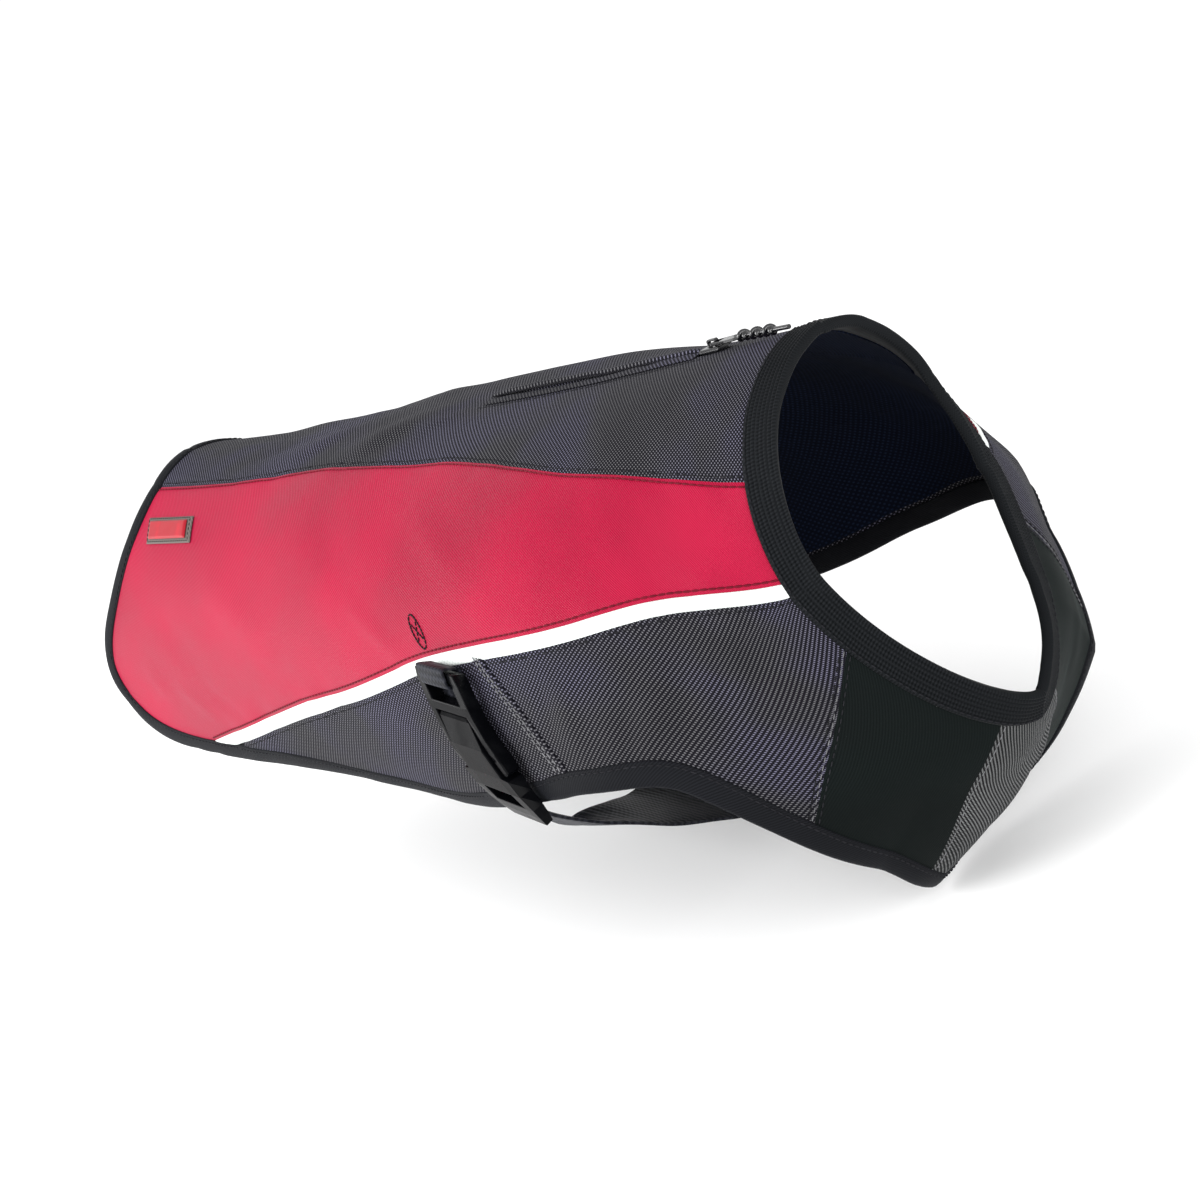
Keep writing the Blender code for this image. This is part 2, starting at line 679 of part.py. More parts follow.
def make_edge_bindings(pattern, mats):
    top, low = 0.8, 0.8 - BINDING_THICK
    section = ((0.0, -0.5), (0.0, -1.3), (0.9, low), (BINDING_WIDTH, low),
               (BINDING_WIDTH, top), (0.9, top))
    stops = pattern.edge_stops()
    crossing = pattern.stops["strip"][1]
    corner = pattern.strap_corner

    def tape(name, places_of, distances):
        rings = []
        for distance in distances:
            places = places_of(np.array([edge(distance, inset) for inset, _ in section]))
            rings.append(lifted(places, [high for _, high in section]))
        loft(name, rings, mats["tape"])

    def run(start, stop):
        """The edge's stops between two distances, with both ends."""
        inner = stops[(stops > start + 0.5) & (stops < stop - 0.5)]
        return np.concatenate([[start], inner, [stop]])

    half = GAP / 2
    rear = run(0.0, crossing - half)
    rings = []
    for distance in np.concatenate([-rear[:0:-1], rear]):
        places = np.array([edge(abs(distance), inset) for inset, _ in section])
        if distance < 0:
            places = mirrored(places)
        rings.append(lifted(places, [high for _, high in section]))
    loft("hem_binding", rings, mats["tape"])
    for name, sign in SIDES:
        tape("lower_binding_" + name, lambda places: on_side(places, sign),
             run(crossing + half, corner - half))
        tape("leg_binding_" + name, lambda places: on_side(places, sign),
             run(corner + half, EDGE_TOTAL - half))


# ------------------------------------------------------------------------ the zip

def frame_at(place):
    """Origin and the forward, across and outward axes of the cloth at a place."""
    along, around = np.asarray(place, float)
    by_along, _ = slopes(along, around)
    out = normals(along, around)
    forward = by_along / np.linalg.norm(by_along)
    return lifted(np.array([along, around])), forward, np.cross(out, forward), out


def put(points, frame):
    origin, forward, across, out = frame
    points = np.asarray(points, float)
    return (origin + points[..., :1] * forward + points[..., 1:2] * across + points[..., 2:] * out)


def zip_places(along, offsets):
    """Places at offsets mm to the left of the spine."""
    per_degree = np.linalg.norm(slopes(along, 1.0)[1])
    return np.array([(along, y / per_degree) for y in offsets])


def make_zip(mats):
    low = -SHELL - GAP - 0.05
    slot = np.linspace(ZIP_START + 0.012, ZIP_END - 0.012, 9)
    stations = [(ZIP_START - 0.02, 0.0), (ZIP_START + 0.006, 0.0)]
    stations += [(along, COIL_RISE) for along in slot]
    stations += [(ZIP_END - 0.006, 0.0), (ZIP_END + 0.02, 0.0)]
    rings = []
    for along, rise in stations:
        section = ((-TAPE_HALF, low - 0.7), (TAPE_HALF, low - 0.7), (TAPE_HALF, low),
                   (COIL_HALF, low), (COIL_HALF - 0.4, low + rise), (-COIL_HALF + 0.4, low + rise),
                   (-COIL_HALF, low), (-TAPE_HALF, low))
        rings.append(lifted(zip_places(along, [y for y, _ in section]), [h for _, h in section]))
    loft("zip_tape", rings, mats["webbing"])
    for name, sign, high in (("left", 1, 2.0), ("right", -1, 0.9)):
        section = ((0.5, GAP), (LIP_WIDTH, GAP), (LIP_WIDTH, GAP + 0.3),
                   (2.6, high), (0.9, high))
        rings = []
        for along in np.linspace(ZIP_START - 0.008, ZIP_END - 0.038, 13):
            places = zip_places(along, [sign * y for y, _ in section])
            rings.append(lifted(places, [h for _, h in section]))
        loft("zip_lip_" + name, rings, mats["grey"])


def make_slider(mats):
    frame = frame_at((ZIP_END - 0.017, 0.0))
    half = SLIDER_LENGTH / 2
    section = ((-1.9, -0.2), (1.9, -0.2), (1.9, 0.5), (3.3, 0.5), (3.3, 1.3), (2.8, SLIDER_TOP),
               (-2.8, SLIDER_TOP), (-3.3, 1.3), (-3.3, 0.5), (-1.9, 0.5))
    body = loft("zip_slider", [put([(x, y, z) for y, z in section], frame) for x in (-half, half)],
                mats["metal"])
    outer = ((-2.2, 1.2), (-2.2, 3.7), (-1.8, 4.1), (1.8, 4.1), (2.2, 3.7), (2.2, 1.2),
             (1.5, 1.2), (1.5, 3.4), (-1.5, 3.4), (-1.5, 1.2))
    arch = arch_solid("slider_bridge", outer, 0.8, frame, mats["metal"])
    fuse(body, arch)
    return frame


def arch_solid(name, outline, half, frame, mat):
    """An inverted U, outline listed round it, from -half to half across."""
    n = len(outline)
    points = [(x, y, z) for y in (-half, half) for x, z in outline]
    pairs = ((0, 1, 8, 9), (1, 2, 8), (2, 3, 7, 8), (3, 4, 7), (4, 5, 6, 7))
    faces = []
    for loop in pairs:
        faces.append(loop)
        faces.append(tuple(n + k for k in reversed(loop)))
    for k in range(n):
        m = (k + 1) % n
        faces.append((m, k, n + k, n + m))
    points = put(points, frame)
    if signed_volume(points, faces) < 0:
        faces = [tuple(reversed(face)) for face in faces]
    return solid(name, points, faces, mat)


def fuse(body, other):
    """Join another solid to a body, which keeps its name."""
    modifier = body.modifiers.new("join", "BOOLEAN")
    modifier.operation = "UNION"
    modifier.solver = "EXACT"
    modifier.object = other
    graph = bpy.context.evaluated_depsgraph_get()
    joined = bpy.data.meshes.new_from_object(body.evaluated_get(graph))
    body.modifiers.clear()
    body.data = joined
    bpy.data.objects.remove(other, do_unlink=True)


def make_pull(frame, mats):
    """The tab and its cord, lying towards the neck from the slider's bar."""
    axis = put((BAR_X, 0.0, BAR_Z), frame)
    us = [BAR_X - 0.45, BAR_X + 0.45, BAR_X + ARCH_CLEAR, BAR_X + 7.0, BAR_X + PULL_LENGTH - 2.0,
          BAR_X + PULL_LENGTH]
    widths = [2.0, 2.0, 2.3, 2.6, 2.3, 1.4]
    shares = [-1.0, -0.58, 0.58, 1.0]
    low, high = BAR_Z - PULL_THICK / 2, BAR_Z + PULL_THICK / 2
    top = np.array([[(u, w * k, high) for k in shares] for u, w in zip(us, widths)])
    under = top.copy()
    under[..., 2] = low
    slab("pull_tab", put(top, frame), put(under, frame), mats["metal"],
         lambda i, j: i == 1 and j == 1, axis)
    start = BAR_X + PULL_LENGTH + GAP
    table = np.array(CORD_LUMPS)
    rings = []
    for share in np.linspace(0, 1, 17):
        radius = np.interp(share, table[:, 0], table[:, 1])
        centre = (start + CORD_LENGTH * share, -0.2 - 5.0 * share, BAR_Z + 0.3 + 0.3 * share)
        turn = [2 * pi * k / 8 for k in range(8)]
        rings.append(put([(centre[0], centre[1] + radius * cos(t), centre[2] + radius * sin(t))
                          for t in turn], frame))
    loft("pull_cord", rings, mats["webbing"], origin=axis)


# ------------------------------------------------------------- buckle and webbing

def on_flank(points):
    """Maps (down, forward, out) mm from the buckle's top end to the right flank."""
    points = np.asarray(points, float)
    share = points[..., 0] / BUCKLE_LENGTH
    along = BUCKLE_TOP[0] + (BUCKLE_FOOT[0] - BUCKLE_TOP[0]) * share
    around = -(BUCKLE_TOP[1] + (BUCKLE_FOOT[1] - BUCKLE_TOP[1]) * share)
    along = along + points[..., 1] / np.linalg.norm(slopes(along, around)[0], axis=-1)
    return surface(along, around) + normals(along, around) * points[..., 2:]


def plate(name, us, vs, low, high, mat, left_out=None):
    """A flat plate of the buckle over a grid; vs(u) gives its columns."""
    top = np.array([[(u, v, high(u) if callable(high) else high) for v in vs(u)] for u in us])
    under = top.copy()
    under[..., 2] = [[low(u) if callable(low) else low] * len(vs(u)) for u in us]
    return slab(name, on_flank(top), on_flank(under), mat, left_out)


def make_buckle(mats):
    floor = BUCKLE_LIFT

    def plug_columns(u):
        outer = np.interp(u, (0, 2, 15, 22, 29, 34, 35.5), (12, 13, 13, 13.4, 14.6, 14.2, 12.5))
        inner = np.interp(u, (0, 11, 15, 22, 35.5), (8.8, 8.8, 9.4, 10.0, 10.8))
        return (-outer, -inner, inner, outer)

    us = (0.0, 3.5, 11.0, 14.5, 22.0, 27.0, 30.0, 34.0, 35.5)
    plate("buckle_plug", us, plug_columns, floor, floor + BUCKLE_THICK, mats["plastic"],
          lambda i, j: j == 1 and (i == 1 or i >= 3))

    def socket_columns(u):
        outer = np.interp(u, (15.0, 16.5, 34, 36.0, 36.6, 40, 49, 55),
                          (8.0, 8.9, 9.3, 9.6, 13.0, 13.0, 12.4, 9.0))
        inner = min(7.6, outer - 1.2)
        return (-outer, -inner, inner, outer)

    us = (15.0, 16.5, 26.0, 36.0, 36.6, 42.0, 47.5, 51.0, 55.0)
    plate("buckle_socket", us, socket_columns,
          lambda u: floor + np.interp(u, (34, 42, 55), (0.0, 1.0, 1.6)),
          lambda u: floor + np.interp(u, (15, 19, 42, 50, 55), (4.2, 6.0, 6.0, 5.2, 4.4)),
          mats["plastic"], lambda i, j: j == 1 and i == 5)


def make_webbing(mats):
    # backing band on the flank, from the strip to the edge tape
    half = WEBBING_WIDTH / 2
    rows = []
    for share in np.linspace(0, 1, 8):
        middle = STRAP_ALONG[0] + (STRAP_ALONG[1] - STRAP_ALONG[0]) * share
        per_along = np.linalg.norm(slopes(middle, 80.0)[0])
        row = []
        for k in (-1, 0, 1):
            along = middle + k * half / per_along
            top = strip_foot(along) + 0.6
            row.append((along, top + (BAND_FOOT - top) * share))
        rows.append(row)
    wall("backing_band", mirrored(np.array(rows)), GAP + WEBBING_THICK, GAP, mats["webbing"])
    # loop of webbing that holds the plug's bar
    low = GAP + WEBBING_THICK + GAP + 0.5
    high = BUCKLE_LIFT + BUCKLE_THICK + GAP + 0.5
    route = ((-1.3, low), (-1.3, high - 0.6), (-0.2, high), (3.6, high), (4.8, high - 0.6), (4.8, low + 0.4))
    rings = []
    for k, (u, w) in enumerate(route):
        a = np.array(route[max(k - 1, 0)])
        b = np.array(route[min(k + 1, len(route) - 1)])
        step = (b - a) / np.linalg.norm(b - a)
        side = np.array([-step[1], step[0]]) * 0.5
        rings.append(on_flank([(u - side[0], -LOOP_HALF, w - side[1]), (u - side[0], LOOP_HALF, w - side[1]),
                               (u + side[0], LOOP_HALF, w + side[1]), (u + side[0], -LOOP_HALF, w + side[1])]))
    loft("anchor_loop", rings, mats["webbing"])


def make_strap(mats):
    """Belly strap: from under the buckle's foot, round the belly, up the left flank."""
    half = WEBBING_WIDTH / 2
    shares = np.linspace(0, 1, 5)[:, None]

    def row(rear, front):
        return np.asarray(rear) * (1 - shares) + np.asarray(front) * shares

    rows = [on_flank(row((u, -half, w), (u, front, w)))
            for u, w, front in ((44.5, 1.95, 1.0), (49.5, 2.2, 1.5), (55.0, 2.4, 5.5))]
    for y, front_x, front_z, rear_x, rear_z in smooth(STRAP_ROUTE, np.linspace(0, 1, 15)):
        rows.append(row((rear_x, y, rear_z), (front_x, y, front_z)))
    outer = row((STRAP_FAR[0], 0.0), (STRAP_FAR[1], 0.0))
    for around, height in ((118.5, 2.4), (113.5, 2.3), (108.0, 1.9), (104.0, 1.2),
                           (99.0, 1.05), (STRAP_FAR_TOP, 1.05)):
        places = outer.copy()
        places[:, 1] = around
        rows.append(lifted(places, height))
    middle = np.array(rows)
    run = np.gradient(middle, axis=0)
    span = np.gradient(middle, axis=1)
    out = np.cross(span, run)
    out /= np.linalg.norm(out, axis=-1, keepdims=True)
    slab("belly_strap", middle + out * WEBBING_THICK / 2, middle - out * WEBBING_THICK / 2,
         mats["webbing"])


def make_label(mats):
    def grid(inset):
        along = np.linspace(LABEL_REAR + inset * 0.0032, LABEL_FRONT - inset * 0.0032, 6)
        around = np.linspace(LABEL_TOP + inset * 0.62, LABEL_FOOT - inset * 0.62, 4)
        lean = 0.010 * (around - LABEL_TOP) / (LABEL_FOOT - LABEL_TOP)
        return mirrored(np.stack([along[:, None] + lean[None], np.broadcast_to(around, (6, 4))], -1))

    wall("label_patch", grid(0.0), GAP + 0.7, GAP, mats["label"])
    wall("label_plate", grid(2.2), 2 * GAP + 1.6, 2 * GAP + 0.7, mats["red"])


def main():
    for thing in list(bpy.data.objects):
        bpy.data.objects.remove(thing, do_unlink=True)
    mats = {
        "grey": material("grey_weave", (0.055, 0.055, 0.075), 0.75),
        "red": material("crimson_twill", (0.55, 0.018, 0.065), 0.6),
        "strip": material("reflective_strip", (0.85, 0.88, 0.85), 0.35),
        "stretch": material("black_stretch", (0.008, 0.010, 0.012), 0.7),
        "elastic": material("ribbed_elastic", (0.012, 0.012, 0.014), 0.65),
        "tape": material("binding_tape", (0.010, 0.011, 0.015), 0.7),
        "lining": material("navy_lining", (0.004, 0.006, 0.014), 0.85),
        "webbing": material("black_webbing", (0.010, 0.011, 0.016), 0.6),
        "plastic": material("black_plastic", (0.012, 0.012, 0.015), 0.35),
        "metal": material("black_metal", (0.03, 0.03, 0.035), 0.3, 0.8),
        "label": material("taupe_label", (0.16, 0.13, 0.12), 0.6),
    }
    pattern = Pattern()
    make_side(pattern, mats)
    make_back(pattern, mats)
    make_flanks(pattern, mats)
    make_chest(pattern, mats)
    make_neck_binding(pattern, mats)
    make_edge_bindings(pattern, mats)
    make_zip(mats)
    slider = make_slider(mats)
    make_pull(slider, mats)
    make_buckle(mats)
    make_webbing(mats)
    make_strap(mats)
    make_label(mats)


main()
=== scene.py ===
from math import cos, pi, radians, sin

import bpy
import numpy as np
from mathutils import Matrix, Vector


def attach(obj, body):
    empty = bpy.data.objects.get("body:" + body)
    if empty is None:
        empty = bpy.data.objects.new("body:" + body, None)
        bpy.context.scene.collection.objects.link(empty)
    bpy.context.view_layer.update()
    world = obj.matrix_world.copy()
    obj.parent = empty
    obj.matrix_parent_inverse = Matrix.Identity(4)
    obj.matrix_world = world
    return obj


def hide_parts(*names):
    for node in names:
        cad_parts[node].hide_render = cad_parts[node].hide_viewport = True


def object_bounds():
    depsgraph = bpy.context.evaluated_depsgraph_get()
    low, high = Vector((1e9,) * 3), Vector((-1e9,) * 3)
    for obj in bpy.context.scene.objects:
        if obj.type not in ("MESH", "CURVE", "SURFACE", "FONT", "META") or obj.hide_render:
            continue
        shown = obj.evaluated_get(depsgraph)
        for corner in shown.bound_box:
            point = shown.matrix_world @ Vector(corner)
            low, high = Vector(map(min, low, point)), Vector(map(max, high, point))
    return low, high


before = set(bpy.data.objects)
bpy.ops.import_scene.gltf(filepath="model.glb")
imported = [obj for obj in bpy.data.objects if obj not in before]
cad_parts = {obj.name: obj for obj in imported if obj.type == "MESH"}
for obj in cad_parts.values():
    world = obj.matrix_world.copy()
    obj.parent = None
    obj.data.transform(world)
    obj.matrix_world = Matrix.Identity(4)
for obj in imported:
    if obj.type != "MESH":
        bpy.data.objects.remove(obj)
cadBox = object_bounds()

print("frame loaded:", len(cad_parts), "nodes")

# The jacket is a bent tube. A place on it is (along, around): along 0 at the rear
# hem to 1 at the neck rim, around in degrees from the spine, negative on the
# dog's right. Sizes are millimetres until a mesh is made.

gap = 0.3  # between pieces that meet
alongScale = 430.0  # mm of cloth from the hem to the neck rim
aroundScale = 1.65  # mm of cloth in a degree
viewSetup = {
    "lens": 69.435,
    "distance": 830.4,
    "aim": (16.9, 0.58, -77.8),
    "right": (0.6262, 0.6848, -0.3727),
    "up": (0.0375, 0.4510, 0.8917),
    "toCamera": (0.7787, -0.5724, 0.2568),
}


def newObject(name, data):
    made = bpy.data.objects.new(name, data)
    bpy.context.scene.collection.objects.link(made)
    return made


def makeCamera():
    data = bpy.data.cameras.new("photoView")
    data.lens = viewSetup["lens"]
    data.sensor_width = 36.0
    camera = newObject("photoView", data)
    axes = [Vector(viewSetup[key]).normalized() for key in ("right", "up", "toCamera")]
    place = (Vector(viewSetup["aim"]) + axes[2] * viewSetup["distance"]) * 0.001
    turn = Matrix(axes).transposed().to_4x4()
    camera.matrix_world = Matrix.Translation(place) @ turn
    bpy.context.scene.camera = camera


makeCamera()

# the tube's form
bodyForm = {
    # back x, back z, belly x, belly z, half width, upper share, side lean, lower round
    "rings": (
        (-215.5, 4.8, -245.5, -171.4, 64.5, -0.03, -3.5, 2.12),
        (-138.0, 1.1, -142.5, -155.4, 73.5, -0.02, 0.5, 2.10),
        (-64.5, 3.6, -46.5, -149.4, 84.5, 0.00, 4.5, 2.08),
        (2.0, 2.4, 48.5, -159.9, 96.0, 0.00, 9.0, 2.04),
        (66.0, 3.6, 145.5, -177.1, 104.0, 0.00, 17.0, 2.04),
        (121.5, 5.3, 190.5, -139.9, 71.7, 0.02, 2.0, 1.91),
        (173.0, 7.6, 206.5, -115.9, 41.0, 0.06, -12.0, 1.56),
    ),
    "upperRound": 1.94,
}
cutLines = {
    # the jacket's edge from the spine at the hem to the middle of the chest
    "outline": (
        (0.000, 0.0), (0.004, 31.0), (-0.014, 57.0), (-0.030, 79.0), (0.014, 97.5),
        (0.104, 108.3), (0.220, 115.0), (0.320, 121.0), (0.420, 119.5), (0.504, 112.0),
        (0.575, 101.0), (0.648, 94.0), (0.720, 99.5), (0.745, 120.0), (0.735, 146.0),
        (0.695, 166.0), (0.675, 180.0),
    ),
    "backSeam": (22.3, 23.1, 29.0, 62.2),
    "stripSeam": (110.5, 89.3, 62.8, 90.5),
    "stripDegrees": (4.2, 3.9, 2.9, 4.6),
    "pleat": ((0.605, 66.5), (0.629, 76.5), (0.643, 88.4)),
    "pleatBand": (8.0, 18.0),
    "corner": 5.0,
    "shoulderTop": 113.0,
    "shoulderFoot": (0.769, 126.0),
    "chestTop": 160.0,
    "chestFoot": (0.735, 160.5),
    "strapCorner": (0.504, 112.0),
    "zipStart": 0.515,
    "zipEnd": 0.862,
    "slotHalf": 2.4,
    "tapeHalf": 7.5,
    "edgeTape": 8.0,
    "neckTape": 11.5,
    "rowSteps": (54, 44, 17),  # grid rows behind, along and ahead of the zip
}
softForm = {
    # raised folds: from one place to another, width and height
    "folds": (
        (0.36, 15.5, 0.74, 18.5, 13.0, 3.6),
        (0.33, -21.0, 0.47, -3.0, 9.0, 1.8),
        (0.18, -19.0, 0.38, -4.0, 9.0, 1.6),
        (0.79, -80.0, 0.72, -93.0, 7.0, 1.2),
        (0.85, -86.0, 0.75, -101.0, 7.0, 1.2),
        (0.30, 24.0, 0.42, 9.0, 9.0, 1.4),
        (0.12, 20.0, 0.26, 6.0, 9.0, 1.4),
        (0.78, 82.0, 0.71, 95.0, 7.0, 1.2),
    ),
    # finer creases, pressed in (-) or standing up (+)
    "creases": (
        (0.26, -20.0, 0.34, -8.0, 4.5, -0.7),
        (0.37, -22.0, 0.45, -10.0, 4.0, -0.7),
        (0.12, -17.0, 0.23, -7.0, 5.0, -0.5),
        (0.43, -14.0, 0.50, -4.0, 4.0, 0.5),
        (0.69, -72.0, 0.655, -88.0, 5.0, 0.9),
        (0.75, -78.0, 0.69, -95.0, 4.0, -0.7),
        (0.665, -70.0, 0.645, -84.0, 4.0, -0.8),
        (0.86, -88.0, 0.80, -108.0, 5.0, 0.8),
        (0.50, -34.0, 0.60, -52.0, 8.0, 0.9),
        (0.15, -52.0, 0.30, -78.0, 10.0, 1.1),
        (0.33, -30.0, 0.46, -62.0, 11.0, -0.7),
        (0.07, -60.0, 0.16, -88.0, 7.0, -0.8),
        (0.42, -58.0, 0.52, -75.0, 4.0, 0.7),
        (0.09, -84.0, 0.15, -97.0, 3.0, 0.6),
        (0.13, -83.0, 0.20, -98.0, 3.2, -0.6),
        (0.04, -76.0, 0.08, -92.0, 3.0, 0.6),
        (0.24, 20.0, 0.33, 8.0, 4.5, -0.6),
        (0.70, 74.0, 0.66, 88.0, 5.0, 0.8),
        (0.74, 80.0, 0.69, 95.0, 4.0, -0.6),
        (0.16, 52.0, 0.30, 80.0, 16.0, 0.9),
        (0.36, 32.0, 0.47, 64.0, 11.0, -0.6),
        (0.84, -120.0, 0.80, -150.0, 8.0, 0.7),
        (0.84, 120.0, 0.80, 150.0, 8.0, 0.7),
    ),
    # how far the cloth flares or tucks in along the leg cut: around, left, right
    "flare": (
        (88.0, 0.0, 0.0), (105.0, -3.2, 3.0), (120.0, 0.0, 1.0), (133.0, 4.7, 0.2),
        (148.0, -1.7, -1.8), (165.0, -8.7, 1.0), (180.0, -6.5, -6.5),
    ),
    "flareReach": 28.0,
    "flareScale": 300.0,  # mm of cloth for the whole of along, at the leg cut
    # how high broad swells, small ripples and the puckers beside seams are
    "swell": 0.75,
    "ripple": 0.22,
    "pucker": 0.32,
    "seamSink": 0.45,
    # calm where the zip's slider and the buckle sit: place and reach in mm
    "calm": ((362.0, 0.0, 34.0, 9.0), (246.0, -141.0, 24.0, 36.0)),
}


def smoothRows(rows, where):
    # a Catmull-Rom curve through evenly spaced rows
    rows = np.asarray(rows, float)
    if rows.ndim == 1:
        rows = rows[:, None]
    count = len(rows)
    place = np.clip(np.asarray(where, float), -0.3, 1.3) * (count - 1)
    index = np.clip(np.floor(place).astype(int), 0, count - 2)
    t = place - index
    t = t.reshape(t.shape + (1,) * (rows.ndim - 1))
    padded = np.concatenate([2 * rows[:1] - rows[1:2], rows, 2 * rows[-1:] - rows[-2:-1]])
    a, b, c, d = (padded[index + k] for k in range(4))
    bend = 2 * a - 5 * b + 4 * c - d + t * (3 * (b - c) + d - a)
    return b + 0.5 * t * ((c - a) + t * bend)


def tube(along, around):
    along, around = np.broadcast_arrays(np.asarray(along, float), np.asarray(around, float))
    row = np.moveaxis(smoothRows(bodyForm["rings"], along), -1, 0)
    topX, topZ, lowX, lowZ, half, share, lean, keel = row
    angle = np.radians(around)
    up = np.cos(angle)
    out = np.abs(np.sin(angle))
    power = np.where(up > 0, bodyForm["upperRound"], np.maximum(keel, 1.2))
    height = np.sign(up) * np.abs(up) ** (2 / power)
    side = np.sign(np.sin(angle)) * out ** (2 / power)
    x = (topX + lowX) / 2 + (topX - lowX) / 2 * height + lean * out ** 2
    z = (topZ + lowZ) / 2 + (topZ - lowZ) / 2 * height
    return np.stack([x, side * half * (1 + share * up), z], -1)


def tubeSlopes(along, around):
    byAlong = (tube(along + 0.004, around) - tube(along - 0.004, around)) / 0.008
    byAround = (tube(along, around + 0.8) - tube(along, around - 0.8)) / 1.6
    return byAlong, byAround


def tubeNormals(along, around):
    byAlong, byAround = tubeSlopes(along, around)
    normal = np.cross(byAlong, byAround)
    return normal / np.linalg.norm(normal, axis=-1, keepdims=True)


def stepSizes(along, around):
    # mm of cloth for the whole of along, and for a degree around
    return [np.linalg.norm(slope, axis=-1) for slope in tubeSlopes(along, around)]


def runLength(points):
    # mm from the first point to each one
    steps = np.linalg.norm(np.diff(points, axis=0), axis=1)
    return np.concatenate([[0], np.cumsum(steps)])


def between(where, run, table):
    # a table's rows read at other places of its run
    return np.stack([np.interp(where, run, column) for column in np.transpose(table)], -1)


def softNoise(u, v, seed):
    # smooth bumps from -1 to 1, about one for each unit
    iu = np.floor(u)
    iv = np.floor(v)
    fu = (u - iu) ** 2 * (3 - 2 * (u - iu))
    fv = (v - iv) ** 2 * (3 - 2 * (v - iv))

    def corner(a, b):
        mixed = np.sin(a * 127.1 + b * 311.7 + seed * 74.7) * 43758.5453
        return 2 * (mixed - np.floor(mixed)) - 1

    low = corner(iu, iv) * (1 - fu) + corner(iu + 1, iv) * fu
    high = corner(iu, iv + 1) * (1 - fu) + corner(iu + 1, iv + 1) * fu
    return low * (1 - fv) + high * fv


def backSeam(along):
    return smoothRows(cutLines["backSeam"], along)[..., 0]


def stripTop(along):
    return smoothRows(cutLines["stripSeam"], along)[..., 0]


def stripFoot(along):
    return stripTop(along) + smoothRows(cutLines["stripDegrees"], along)[..., 0]


def relief(along, around):
    # height of folds, flare, creases and seam puckers above the tube
    along = np.asarray(along, float)
    turn = (np.asarray(around, float) + 180) % 360 - 180
    place = np.stack([along * alongScale, turn * aroundScale], -1)
    total = np.zeros(place.shape[:-1])
    for table in ("folds", "creases"):
        for a0, r0, a1, r1, width, height in softForm[table]:
            start = np.array([a0 * alongScale, r0 * aroundScale])
            run = np.array([a1 * alongScale, r1 * aroundScale]) - start
            t = np.clip(((place - start) @ run) / (run @ run), 0, 1)
            off = np.linalg.norm(place - start - t[..., None] * run, axis=-1)
            total = total + height * np.sin(pi * t) * np.exp(-((off / width) ** 2))
    cut = np.array(cutLines["outline"][11:])
    inside = (along - np.interp(np.abs(turn), cut[:, 1], cut[:, 0])) * softForm["flareScale"]
    table = np.array(softForm["flare"])
    left = np.interp(turn, table[:, 0], table[:, 1])
    right = np.interp(-turn, table[:, 0], table[:, 2])
    reach = np.exp(-np.maximum(inside, 0) / softForm["flareReach"])
    reach = reach * np.clip((inside + 30) / 18, 0, 1)
    total = total + np.where(turn >= 0, left, right) * reach
    # broad swells, puckers beside the long seams, and the seams' own grooves
    x = place[..., 0]
    y = place[..., 1]
    soft = softForm["swell"] * softNoise(x / 62, y / 40 + np.sign(turn) * 9, 3)
    soft = soft + softForm["ripple"] * softNoise(x / 24, y / 19, 8)
    for seam, sink in ((backSeam, 1.0), (stripTop, 0.6), (stripFoot, 0.8)):
        off = (np.abs(turn) - seam(along)) * aroundScale
        wave = softNoise(x / 11, np.sign(turn) * 5 + off / 30, 21)
        soft = soft + softForm["pucker"] * wave * np.exp(-((off / 8) ** 2))
        soft = soft - softForm["seamSink"] * sink * np.exp(-((off / 1.5) ** 2))
    calm = 0.0
    for alongHere, aroundHere, reachAlong, reachAround in softForm["calm"]:
        off = ((x - alongHere) / reachAlong) ** 2 + ((y - aroundHere) / reachAround) ** 2
        calm = calm + np.exp(-off)
    return total + soft * (1 - np.clip(calm, 0, 1))


def lifted(grid, height=0.0):
    # points at a height above the cloth's outer face
    grid = np.asarray(grid, float)
    along = grid[..., 0]
    around = grid[..., 1]
    height = relief(along, around) + np.asarray(height, float)
    return tube(along, around) + tubeNormals(along, around) * height[..., None]


# the pattern's lines
edgeRows = smoothRows(cutLines["outline"], np.linspace(0, 1, 1601))
edgeLength = runLength(tube(edgeRows[:, 0], edgeRows[:, 1]))
edgeTotal = edgeLength[-1]


def edgePlace(distance, inset=0.0):
    # distance mm round the edge from the spine, inset mm in from it
    distance = np.clip(np.asarray(distance, float), 0, edgeTotal)
    place, ahead, behind = (
        between(np.clip(distance + shift, 0, edgeTotal), edgeLength, edgeRows) for shift in (0, 3, -3))
    step = ahead - behind
    byAlong, byAround = tubeSlopes(place[..., 0], place[..., 1])
    tangent = byAlong * step[..., :1] + byAround * step[..., 1:]
    tangent /= np.linalg.norm(tangent, axis=-1, keepdims=True)
    inward = np.cross(tangent, tubeNormals(place[..., 0], place[..., 1]))
    aa = (byAlong ** 2).sum(-1)
    bb = (byAround ** 2).sum(-1)
    ab = (byAlong * byAround).sum(-1)
    pa = (inward * byAlong).sum(-1)
    pb = (inward * byAround).sum(-1)
    det = aa * bb - ab * ab
    move = np.stack([(pa * bb - pb * ab) / det, (pb * aa - pa * ab) / det], -1)
    inset = np.broadcast_to(np.asarray(inset, float), distance.shape)[..., None]
    place = place + move * inset
    place[..., 1] = np.clip(place[..., 1], 0, 180)
    return place


def neckAlong(around, inset):
    return 1.0 - inset / stepSizes(np.ones_like(around, dtype=float), around)[0]


def neckRows(stops, inset):
    stops = np.asarray(stops, float)
    return np.stack([neckAlong(stops, inset), stops], -1)


